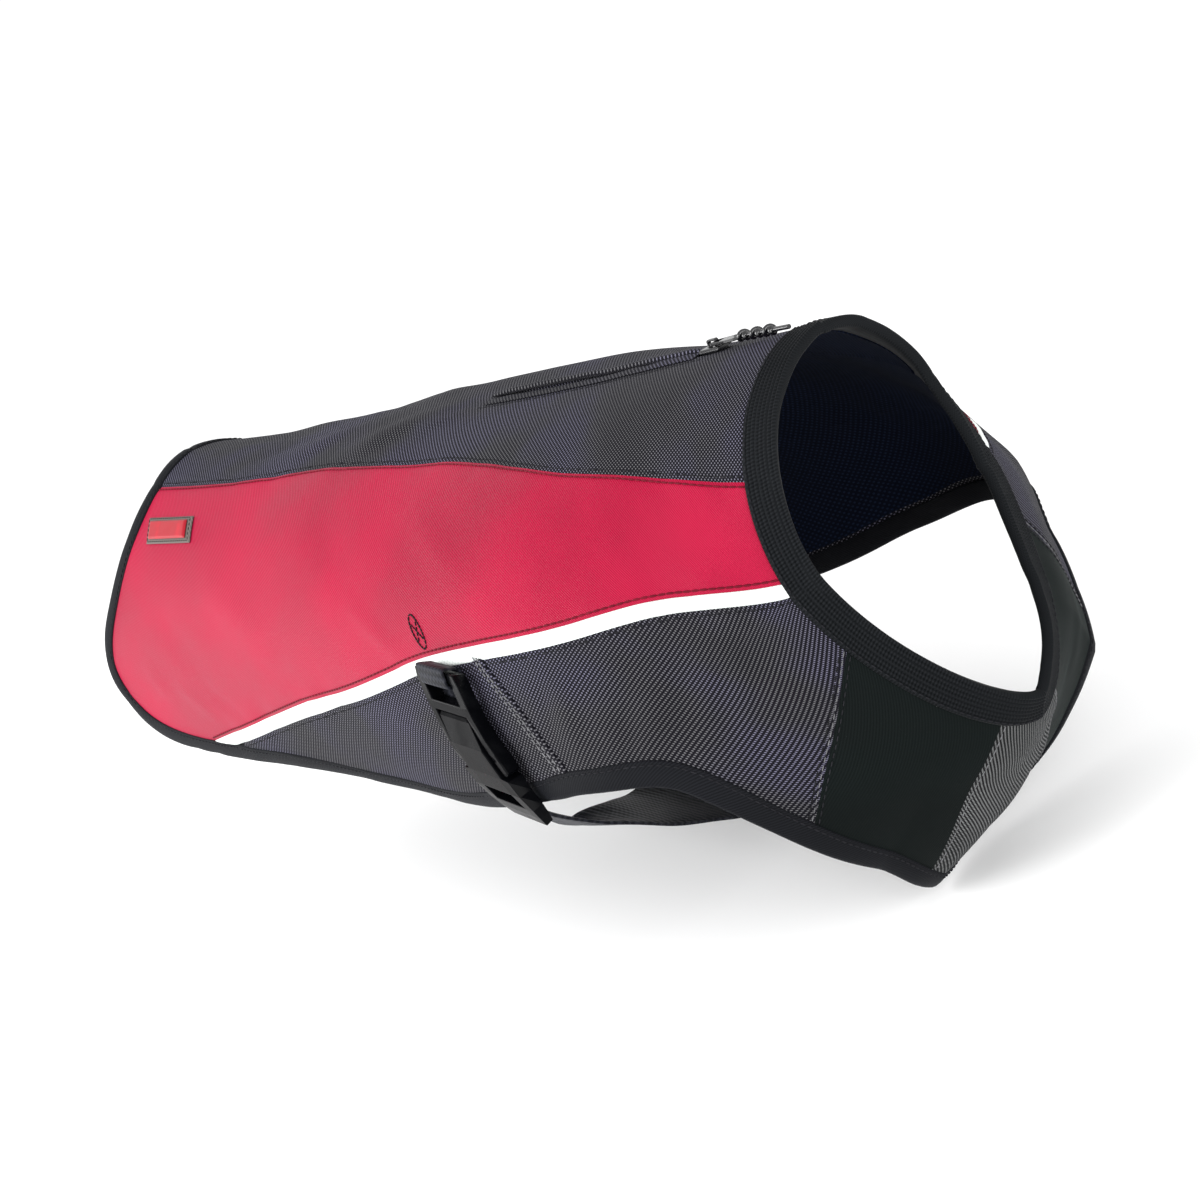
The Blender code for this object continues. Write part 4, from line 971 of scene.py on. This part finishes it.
def makeChest():
    spec = chestSet
    count = spec["columns"]
    seamF = sideways(shoulderRows, half)[::-1]
    seamG = sideways(chestRows, -half)[::-1]
    left = edgePlace(np.linspace(shoulderStop + half, chestStop - half, count), inset)
    right = neckRows(np.linspace(cutLines["shoulderTop"], cutLines["chestTop"], count), neckInset)
    seamF[0] = left[0]
    seamG[0] = left[-1]
    grid = patch(seamF, seamG, left, right)
    for side, sign in sides:
        cloth("shoulder." + side, onSide(grid, sign), 0.0, -spec["stretchThick"], "blackStretch",
              "shoulder_panel_" + side, ["frontFlank." + side])
    foot = edgePlace(np.linspace(chestStop + half, edgeTotal, 14), inset)
    neck = neckRows(np.linspace(cutLines["chestTop"], 180.0, 14), neckInset)
    seam = sideways(chestRows, half)[::-1]
    seam[0] = foot[0]

    def across(rows):
        other = rows[-2::-1].copy()
        other[:, 1] = 360 - other[:, 1]
        return np.vstack([rows, other])

    far = seam.copy()
    far[:, 1] = 360 - far[:, 1]
    grid = patch(seam, far, across(foot), across(neck))
    # the chest's grey weave is painted lighter: painted light on the side facing the lamps
    cloth("chestPanel", grid, 0.0, -spec["chestThick"], "chestWeavePaintedLight", "chest_panel",
          ["shoulder.left", "shoulder.right"])


makeChest()
print("shoulders and chest sewn")

# bindings
neckTape = {"ribs": 8, "thick": 3.2, "rise": 0.8, "ribHeight": 0.45, "stations": 300}
edgeTape = {"rise": 0.8, "thick": 3.4, "bulge": 0.25, "step": 2.6}


def makeNeckTape():
    spec = neckTape
    width = cutLines["neckTape"]
    section = []
    steps = spec["ribs"] * 5
    for n in range(steps + 1):
        share = n / steps
        rib = 0.5 - 0.5 * cos(2 * pi * spec["ribs"] * share)
        rolled = 0.9 * (max(0.0, 1 - share * 18) + max(0.0, 1 - (1 - share) * 18)) ** 2
        section.append((width * share, spec["rise"] + spec["ribHeight"] * rib ** 0.7 - 0.45 * rolled))
    low = spec["rise"] - spec["thick"]
    section += [(width, low + 0.5), (width - 0.5, low), (width / 2, low), (0.6, low), (0.0, low + 0.7)]
    rings = []
    insets, heights = np.array(section).T
    for around in np.linspace(-180, 180, spec["stations"], endpoint=False):
        arounds = np.full(len(section), around)
        stretch = 0.12 * softNoise(np.array([around / 4.0]), np.array([0.5]), 5)[0]
        rings.append(lifted(np.stack([neckAlong(arounds, insets), arounds], -1), heights + stretch))
    loftPiece("neckBinding", rings, "ribbedElastic", "neck_binding", closed=True)


def tapeSection():
    # folded tape: rounded at the edge, softly domed, a stitched dip near its inner side
    spec = edgeTape
    width = cutLines["edgeTape"]
    top = spec["rise"]
    low = top - spec["thick"]
    return (
        (0.0, -0.9), (0.12, -1.7), (0.7, low + 0.15), (2.0, low), (width - 0.4, low), (width, low + 0.3),
        (width, top - 0.45), (width - 0.5, top - 0.1), (width - 1.4, top - 0.22), (width - 2.2, top + 0.05),
        (width * 0.5, top + spec["bulge"]), (2.0, top + 0.12), (0.8, top - 0.15), (0.15, top - 0.8),
    )


def makeEdgeTapes():
    insets, heights = np.array(tapeSection()).T

    def ring(distance, sign):
        places = edgePlace(np.full(len(insets), abs(distance)), insets)
        wave = 0.22 * softNoise(np.array([distance / 13.0]), np.array([sign * 2.0]), 4)[0]
        return lifted(onSide(places, sign), heights + wave)

    def run(start, stop):
        return np.linspace(start, stop, max(int((stop - start) / edgeTape["step"]), 2))

    hemEnd = crossing[2] - half
    rings = [ring(stop, 1 if stop >= 0 else -1) for stop in run(-hemEnd, hemEnd)]
    loftPiece("hemBinding", rings, "bindingTape", "hem_binding")
    for side, sign in sides:
        for word, start, stop in (("lower", crossing[2], strapStop), ("leg", strapStop, edgeTotal)):
            rings = [ring(place, sign) for place in run(start + half, stop - half)]
            loftPiece(word + "Binding." + side, rings, "bindingTape", word + "_binding_" + side)


makeNeckTape()
makeEdgeTapes()
print("bindings sewn")

# the zip: tape, coil, lips, and the cord on its pull
zipSet = {
    "coilRise": 0.9, "coilPitch": 1.35, "lipWidth": 4.4,
    "lipHigh": (("left", 1, 2.0), ("right", -1, 0.9)),
    "barX": 0.6, "barZ": 2.6, "pullLength": 13.0,
    "cordLength": 27.0, "cordThick": 0.78, "cordSteps": 460,
    # where the cord's knots sit, their reach along it, and the turns in its whole length
    "knots": (0.16, 0.40, 0.64), "knotReach": 0.052, "knotTurns": 26,
}


def zipPlaces(along, offsets):
    perDegree = stepSizes(along, 1.0)[1]
    return np.array([(along, y / perDegree) for y in offsets])


def frameAt(along, around):
    place = np.array([along, around])
    byAlong, _ = tubeSlopes(place[0], place[1])
    out = tubeNormals(place[0], place[1])
    forward = byAlong / np.linalg.norm(byAlong)
    return lifted(place), forward, np.cross(out, forward), out


def putPoints(points, axes):
    origin, forward, across, out = axes
    points = np.asarray(points, float)
    return origin + points[..., :1] * forward + points[..., 1:2] * across + points[..., 2:] * out


def makeZip():
    spec = zipSet
    start = cutLines["zipStart"]
    end = cutLines["zipEnd"]
    low = -backPanel["thick"] - gap - 0.05
    tape = cutLines["tapeHalf"]
    section = (
        (-tape, low - 0.7), (tape, low - 0.7), (tape, low), (0.9, low), (0.5, low + 0.25),
        (-0.5, low + 0.25), (-0.9, low), (-tape, low),
    )
    rings = []
    for along in np.linspace(start - 0.02, end + 0.02, 70):
        rings.append(lifted(zipPlaces(along, [y for y, _ in section]), [h for _, h in section]))
    loftPiece("zipTape", rings, "blackWebbing", "zip_tape", sharp=40.0)
    # the coil's turns, left and right in step
    turns = []
    step = spec["coilPitch"] / alongScale
    for along in np.arange(start + 0.008, end - 0.014, step):
        for side, lead in ((1, 0.0), (-1, step / 2)):
            arc = np.linspace(0, pi, 6)
            across = side * (0.25 + 1.3 * np.sin(arc / 2))
            path = []
            for y, t in zip(across, arc):
                high = low + 0.15 + spec["coilRise"] * 0.8 * cos(t * 0.5)
                path.append(lifted(zipPlaces(along + lead + step * 0.1 * cos(t), [y])[0], high))
            turns.append(sweep(path, 0.27, 5))
    shortTubes("zipCoil", np.array(turns), "blackPlastic", "black_plastic")
    for side, sign, high in spec["lipHigh"]:
        wide = spec["lipWidth"]
        section = [(0.5, gap + 0.05), (wide, gap + 0.05), (wide + 0.3, gap + 0.2)]
        for t in np.linspace(0.1, 1, 8):
            y = wide * (1 - t) + 0.55 * t
            section.append((y, gap + 0.3 + (high - 0.45) * sin(pi * 0.5 * min(1.0, t * 1.5)) ** 1.3))
        section += [(0.25, high - 0.25), (0.2, high * 0.55)]
        rings = []
        stations = np.linspace(start - 0.008, end - 0.038, 64)
        for k, along in enumerate(stations):
            ends = min(1.0, k / 5, (len(stations) - 1 - k) / 4)
            wave = 0.15 * softNoise(np.array([along * 43.0]), np.array([sign * 3.0]), 9)[0]
            places = zipPlaces(along, [sign * y for y, _ in section])
            heights = [gap + (h - gap) * (0.35 + 0.65 * ends) + wave * (h > 0.6) for _, h in section]
            rings.append(lifted(places, heights))
        loftPiece("zipLip." + side, rings, "greyWeave", "zip_lip_" + side)


def makeCord():
    # one glossy cord, tied in three knots
    spec = zipSet
    axes = frameAt(cutLines["zipEnd"] - 0.017, 0.0)
    start = spec["barX"] + spec["pullLength"] - 2.6
    path = []
    for share in np.linspace(0, 1, spec["cordSteps"]):
        near = min(spec["knots"], key=lambda knot: abs(knot - share))
        close = np.exp(-((share - near) / spec["knotReach"]) ** 2)
        turn = (share - near) * 2 * pi * spec["knotTurns"]
        x = start + (spec["cordLength"] + 2.4) * share
        x = x + 1.1 * close * sin(turn * 0.5)
        y = -0.2 - 5.0 * share + 1.45 * close * sin(turn)
        z = spec["barZ"] + 0.3 + 0.3 * share + 1.25 * close * cos(turn)
        path.append((x, y, z))
    rings = sweep(putPoints(np.array(path), axes), spec["cordThick"], 8)
    loftPiece("pullCord", rings, "cordShine", "pull_cord", "zip_pull", sharp=80.0, slot="black_webbing")


makeZip()
makeCord()
print("zip made")

# webbing: band under the buckle, loop on its bar, belly strap
buckleSet = {
    "top": (0.565, 70.5), "foot": (0.581, 101.0), "length": 55.0, "lift": 2.2, "thick": 5.0,
}
webbing = {
    "wide": 20.0, "thick": 1.5, "along": (0.559, 0.564), "bandFoot": 92.0, "loopHalf": 8.2,
    # the belly strap: distance from the middle, front edge x and z, rear edge x and z
    "route": (
        (-88.0, 91.0, -115.0, 69.7, -116.0),
        (-68.0, 93.5, -127.0, 64.8, -121.5),
        (-45.0, 92.0, -139.2, 50.0, -130.5),
        (-22.0, 90.0, -148.0, 39.0, -136.5),
        (5.0, 84.0, -152.0, 31.0, -139.0),
        (35.0, 72.0, -150.0, 22.0, -138.0),
        (62.0, 55.0, -143.0, 10.0, -133.5),
        (80.0, 42.5, -133.0, -1.0, -126.0),
    ),
    # under the buckle: down, out and front edge; on the far flank: around and height
    "nearRows": ((44.5, 1.95, 1.0), (49.5, 2.2, 1.5), (55.0, 2.4, 5.5)),
    "farRows": ((118.5, 2.4), (113.5, 2.3), (108.0, 1.9), (104.0, 1.2), (99.0, 1.05), (94.0, 1.05)),
    "farAlong": (0.400, 0.482), "wavy": 0.7, "strapGrid": (150, 19),
    "flat": (0.045, 0.27), "flatShare": 0.85,  # the strap's cut in metres, and how much it fills
}


def onFlank(points):
    # (down, forward, out) mm from the buckle's top end to the right flank
    points = np.asarray(points, float)
    share = points[..., 0] / buckleSet["length"]
    top = buckleSet["top"]
    foot = buckleSet["foot"]
    along = top[0] + (foot[0] - top[0]) * share
    around = -(top[1] + (foot[1] - top[1]) * share)
    along = along + points[..., 1] / stepSizes(along, around)[0]
    return tube(along, around) + tubeNormals(along, around) * points[..., 2:]


def makeBand():
    spec = webbing
    rows = []
    for share in np.linspace(0, 1, 36):
        middle = spec["along"][0] + (spec["along"][1] - spec["along"][0]) * share
        perAlong = stepSizes(middle, 80.0)[0]
        row = []
        for k in np.linspace(-1, 1, 13):
            along = middle + k * spec["wide"] / 2 / perAlong
            top = stripFoot(along) + 0.6
            row.append((along, top + (spec["bandFoot"] - top) * share))
        rows.append(row)
    grid = mirrored(np.array(rows))
    crown = np.array([0.55, 0.9] + [1.0] * 9 + [0.9, 0.55])
    outer = gap + spec["thick"] * crown[None]
    cloth("backingBand", grid, outer, gap, "blackWebbing", "backing_band", ["rearFlank.right"])


def makeLoop():
    spec = webbing
    low = gap + spec["thick"] + gap + 0.5
    high = buckleSet["lift"] + buckleSet["thick"] + gap + 0.5
    route = ((-1.3, low), (-1.3, high - 0.6), (-0.2, high), (3.6, high), (4.8, high - 0.6), (4.8, low + 0.4))
    fine = smoothRows(route, np.linspace(0, 1, 34))
    fine[:, 1] = np.minimum(fine[:, 1], high)
    rings = []
    for k, (u, w) in enumerate(fine):
        step = fine[min(k + 1, 33)] - fine[max(k - 1, 0)]
        step = step / np.linalg.norm(step)
        side = np.array([-step[1], step[0]]) * 0.5
        wide = spec["loopHalf"]
        ring = []
        for v, s in ((-wide, -0.5), (-wide + 0.4, -1), (0, -1), (wide - 0.4, -1), (wide, -0.5),
                     (wide, 0.5), (wide - 0.4, 1), (0, 1), (-wide + 0.4, 1), (-wide, 0.5)):
            ring.append((u + side[0] * s, v, w + side[1] * s))
        rings.append(onFlank(ring))
    loftPiece("anchorLoop", rings, "blackWebbing", "anchor_loop")


def makeStrap():
    spec = webbing
    halfWide = spec["wide"] / 2
    shares = np.linspace(0, 1, 5)[:, None]

    def row(rear, front):
        return np.asarray(rear) * (1 - shares) + np.asarray(front) * shares

    rows = [onFlank(row((u, -halfWide, w), (u, front, w)))
            for u, w, front in spec["nearRows"]]
    for y, frontX, frontZ, rearX, rearZ in smoothRows(spec["route"], np.linspace(0, 1, 15)):
        rows.append(row((rearX, y, rearZ), (frontX, y, frontZ)))
    outer = row((spec["farAlong"][0], 0.0), (spec["farAlong"][1], 0.0))
    for around, height in spec["farRows"]:
        places = outer.copy()
        places[:, 1] = around
        rows.append(lifted(places, height))
    count, columns = spec["strapGrid"]
    middle = np.moveaxis(smoothRows(np.array(rows), np.linspace(0, 1, count)), 1, 0)
    middle = np.moveaxis(smoothRows(middle, np.linspace(0, 1, columns)), 0, 1)
    run = np.gradient(middle, axis=0)
    span = np.gradient(middle, axis=1)
    out = np.cross(span, run)
    out /= np.linalg.norm(out, axis=-1, keepdims=True)
    # it waves where it hangs free, and lies still at both ends
    steps = np.arange(count)
    free = np.clip(np.minimum(steps / 30, (count - 1 - steps) / 46), 0, 1) ** 2
    u = steps[:, None] / 9.0
    v = np.linspace(-1, 1, columns)[None]
    wave = spec["wavy"] * free[:, None] * softNoise(u, v + 4, 13) * np.abs(v)
    middle = middle + out * wave[..., None]
    crown = np.array([0.6, 0.9] + [1.0] * (columns - 4) + [0.9, 0.6])
    thick = spec["thick"] / 2 * crown[None, :, None]
    points, quads = gridBody(middle + out * thick, middle - out * thick)
    length = np.cumsum(np.linalg.norm(run[:, columns // 2], axis=1))
    wide = np.cumsum(np.linalg.norm(span, axis=-1), axis=1)
    uv = np.stack(np.broadcast_arrays(length[:, None], wide), -1).reshape(-1, 2)
    piece = makePiece("bellyStrap", points, quads, "blackWebbing", uv=np.concatenate([uv, uv]))
    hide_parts("belly_strap")


makeBand()
makeLoop()
makeStrap()
print("webbing made")

# label with a blank raised plate
labelSet = {"rear": 0.034, "front": 0.118, "top": 34.6, "foot": 43.2, "margin": 2.2, "lean": 0.010,
            "mmAlong": 0.0032, "mmAround": 0.62}  # about a millimetre, as along and as degrees


def labelGrid(margin, rows, columns):
    spec = labelSet
    ends = margin * spec["mmAlong"]
    long = margin * spec["mmAround"]
    along = np.linspace(spec["rear"] + ends, spec["front"] - ends, rows)
    around = np.linspace(spec["top"] + long, spec["foot"] - long, columns)
    lean = spec["lean"] * (around - spec["top"]) / (spec["foot"] - spec["top"])
    return mirrored(np.stack([along[:, None] + lean[None],
                              np.broadcast_to(around, (rows, columns))], -1))


def rolledEdge(rows, columns, reach, depth):
    i = np.minimum(np.arange(rows), rows - 1 - np.arange(rows))[:, None] / reach
    j = np.minimum(np.arange(columns), columns - 1 - np.arange(columns))[None] / reach
    t = np.clip(np.minimum(i, j), 0, 1)
    return depth * (1 - np.sqrt(1 - (1 - t) ** 2))


def makeLabel():
    grid = labelGrid(0.0, 60, 26)
    outer = gap + 0.7 - rolledEdge(60, 26, 2.0, 0.4)
    cloth("labelPatch", grid, outer, gap, "taupeLabel", "label_patch")
    grid = labelGrid(labelSet["margin"], 52, 18)
    outer = 2 * gap + 1.6 - rolledEdge(52, 18, 2.5, 0.7)
    piece = cloth("labelPlate", grid, outer, 2 * gap + 0.7, "labelRed", "label_plate")


makeLabel()
print("label sewn on")

# sewing
seamThread = {"pitch": 2.6, "length": 1.9, "width": 0.26}


def topstitch(rows, shift, sign, height=0.1, base=None, lengthwise=False, **size):
    moved = lengthways(rows, shift) if lengthwise else sideways(rows, shift)
    return stitchRow(onSide(moved, sign), height=height, base=base, **{**seamThread, **size})


def edgeStitch(start, stop, shift, sign, height):
    stops = np.linspace(start, stop, max(int(abs(stop - start) / 2), 3))
    return stitchRow(onSide(edgePlace(stops, shift), sign), height=height, **seamThread)


def makeStitches():
    red, pale, dim, black = [], [], [], []
    for _, sign in sides:
        red.append(topstitch(backRows, 1.5, sign, length=2.5, width=0.34))
        red.append(topstitch(topRows, -1.5, sign, length=2.5, width=0.38))
        dim.append(topstitch(backRows, -1.6, sign, 0.05))
        dim.append(topstitch(footRows, 1.8, sign, 0.05))
        raised = flankPanel["bandRaise"]
        pale.append(topstitch(pleatRows, -1.9, sign, 0.12, raised, True, width=0.3))
        pale.append(topstitch(pleatRows, -4.0, sign, 0.12, raised, True, width=0.3))
        black.append(topstitch(shoulderRows, -2.4, sign, 0.12))
        pale.append(topstitch(shoulderRows, -1.0, sign, 0.05, width=0.2))
        dim.append(topstitch(shoulderRows, 1.4, sign, 0.1))
        pale.append(topstitch(chestRows, 1.6, sign, 0.1, width=0.22))
        tapeIn = cutLines["edgeTape"] - 1.4
        marks = (0.0, crossing[2], strapStop, edgeTotal)
        for start, stop in zip(marks, marks[1:]):
            dim.append(edgeStitch(start + 1, stop - 1, tapeIn, sign, edgeTape["rise"] - 0.12))
        around = np.linspace(0, 180, 200)
        places = np.stack([neckAlong(around, cutLines["neckTape"] - 1.0), around], -1)
        dim.append(stitchRow(onSide(places, sign), 2.4, 1.7, 0.26, neckTape["rise"] + 0.3))
        along = np.linspace(cutLines["zipStart"] - 0.012, cutLines["zipEnd"] - 0.02, 60)
        perDegree = stepSizes(along, np.ones(60))[1]
        places = np.stack([along, 6.4 / perDegree], -1)
        dim.append(stitchRow(onSide(places, sign), 2.6, 1.8, 0.22, 0.08))
    # rear edge of the webbing under the buckle, and round the label
    middle = np.linspace(*webbing["along"], 20)
    perAlong = stepSizes(middle, np.full(20, 80.0))[0]
    for shift, height in ((-webbing["wide"] / 2 - 1.0, 0.1), (webbing["wide"] / 2 - 1.6, gap + 1.5)):
        along = middle + shift / perAlong
        top = stripFoot(along)
        around = top + 1.0 + (webbing["bandFoot"] - top - 2.0) * np.linspace(0, 1, 20)
        target = pale if shift < 0 else black
        target.append(stitchRow(mirrored(np.stack([along, around], -1)), 2.6, 1.9, 0.24, height))
    frameGrid = labelGrid(0.9, 20, 9)
    for rows in (frameGrid[:, 0], frameGrid[:, -1], frameGrid[0], frameGrid[-1]):
        black.append(stitchRow(rows, 2.0, 1.4, 0.2, gap + 0.75))
    shortTubes("redPanelStitches", np.concatenate(red), "darkThread")
    shortTubes("paleStitches", np.concatenate(pale), "paleThread")
    shortTubes("tapeStitches", np.concatenate(dim), "dimThread")
    shortTubes("blackStitches", np.concatenate(black), "blackThread")


ovalMark = {"from": (0.518, -62.0), "to": (0.545, -66.4), "long": 12.5, "wide": 5.2, "thread": 0.34,
            "lean": 62, "perDegree": 1.6}


def makeOval():
    # reinforcing stitches: an oval with a cross in it, on the right side panel
    spec = ovalMark
    centre = (np.array(spec["from"]) + np.array(spec["to"])) / 2
    scale = np.array([1 / alongScale, 1 / spec["perDegree"]])
    lean = radians(spec["lean"])
    ahead = np.array([cos(lean), -sin(lean)])
    side = np.array([sin(lean), cos(lean)])

    def placed(points):
        return centre + (np.outer(points[:, 0], ahead) + np.outer(points[:, 1], side)) * scale

    turn = np.linspace(0, 2 * pi, 90)
    loop = np.stack([spec["long"] / 2 * np.cos(turn), spec["wide"] / 2 * np.sin(turn)], -1)
    groups = [stitchRow(placed(loop), 1.6, 1.5, spec["thread"], 0.12)]
    for sign in (1, -1):
        t = np.linspace(-0.72, 0.72, 20)
        cross = np.stack([spec["long"] * 0.36 * t, sign * spec["wide"] * 0.42 * t], -1)
        groups.append(stitchRow(placed(cross), 1.6, 1.5, spec["thread"] * 0.8, 0.14))
    shortTubes("ovalStitches", np.concatenate(groups), "blackThread")


makeStitches()
makeOval()
print("stitches sewn")


# hard parts kept from the frame
def dressNode(node, finish, bevel):
    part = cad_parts[node]
    part.data.materials.clear()
    part.data.materials.append(materials[finish])
    weld = part.modifiers.new("weld", "WELD")
    weld.merge_threshold = 0.00001
    rounding = part.modifiers.new("round", "BEVEL")
    rounding.width = bevel * 0.001
    rounding.segments = 2
    rounding.limit_method = "ANGLE"
    rounding.angle_limit = radians(30)


hardParts = {
    "buckle_plug": ("blackPlastic", 0.7),
    "buckle_socket": ("blackPlastic", 0.7),
    "zip_slider": ("blackMetal", 0.3),
    "pull_tab": ("blackMetal", 0.25),
}
for node, (finish, bevel) in hardParts.items():
    dressNode(node, finish, bevel)
print("hard parts finished")

# studio
studio = {
    "floor": 0.96, "floorHalf": 8.0, "world": 1.0, "exposure": 0.08,
    "aim": (0.0, 0.0, -0.08),
    # each lamp's name, place, size and power
    "lamps": (
        ("key", (-0.45, -1.3, 0.45), 0.8, 22.0),
        ("fill", (1.35, -0.5, 0.3), 1.0, 15.0),
        ("sweep", (-1.25, -0.8, 0.16), 0.5, 5.0),
    ),
}


def makeStudio():
    low = float(cadBox[0][2]) - 0.003
    mesh = bpy.data.meshes.new("floor")
    size = studio["floorHalf"]
    mesh.from_pydata([(-size, -size, low), (size, -size, low), (size, size, low), (-size, size, low)],
                     [], [(0, 1, 2, 3)])
    floor = newObject("floor", mesh)
    made, _, shader = bareMaterial("paleFloor", 0.9, 0.0)
    shader.inputs["Base Color"].default_value = (*[studio["floor"]] * 3, 1.0)
    mesh.materials.append(made)
    world = bpy.data.worlds.new("studio")
    world.use_nodes = True
    background = world.node_tree.nodes["Background"]
    background.inputs["Color"].default_value = (1.0, 1.0, 1.0, 1.0)
    background.inputs["Strength"].default_value = studio["world"]
    bpy.context.scene.world = world
    bpy.context.scene.view_settings.view_transform = "Standard"
    bpy.context.scene.view_settings.exposure = studio["exposure"]
    for name, place, size, power in studio["lamps"]:
        data = bpy.data.lights.new(name, "AREA")
        data.energy = power
        data.size = size
        lamp = newObject(name, data)
        lamp.location = place
        aim = Vector(studio["aim"]) - Vector(place)
        lamp.rotation_euler = aim.to_track_quat("-Z", "Y").to_euler()


makeStudio()
bpy.context.view_layer.update()
print("studio set")
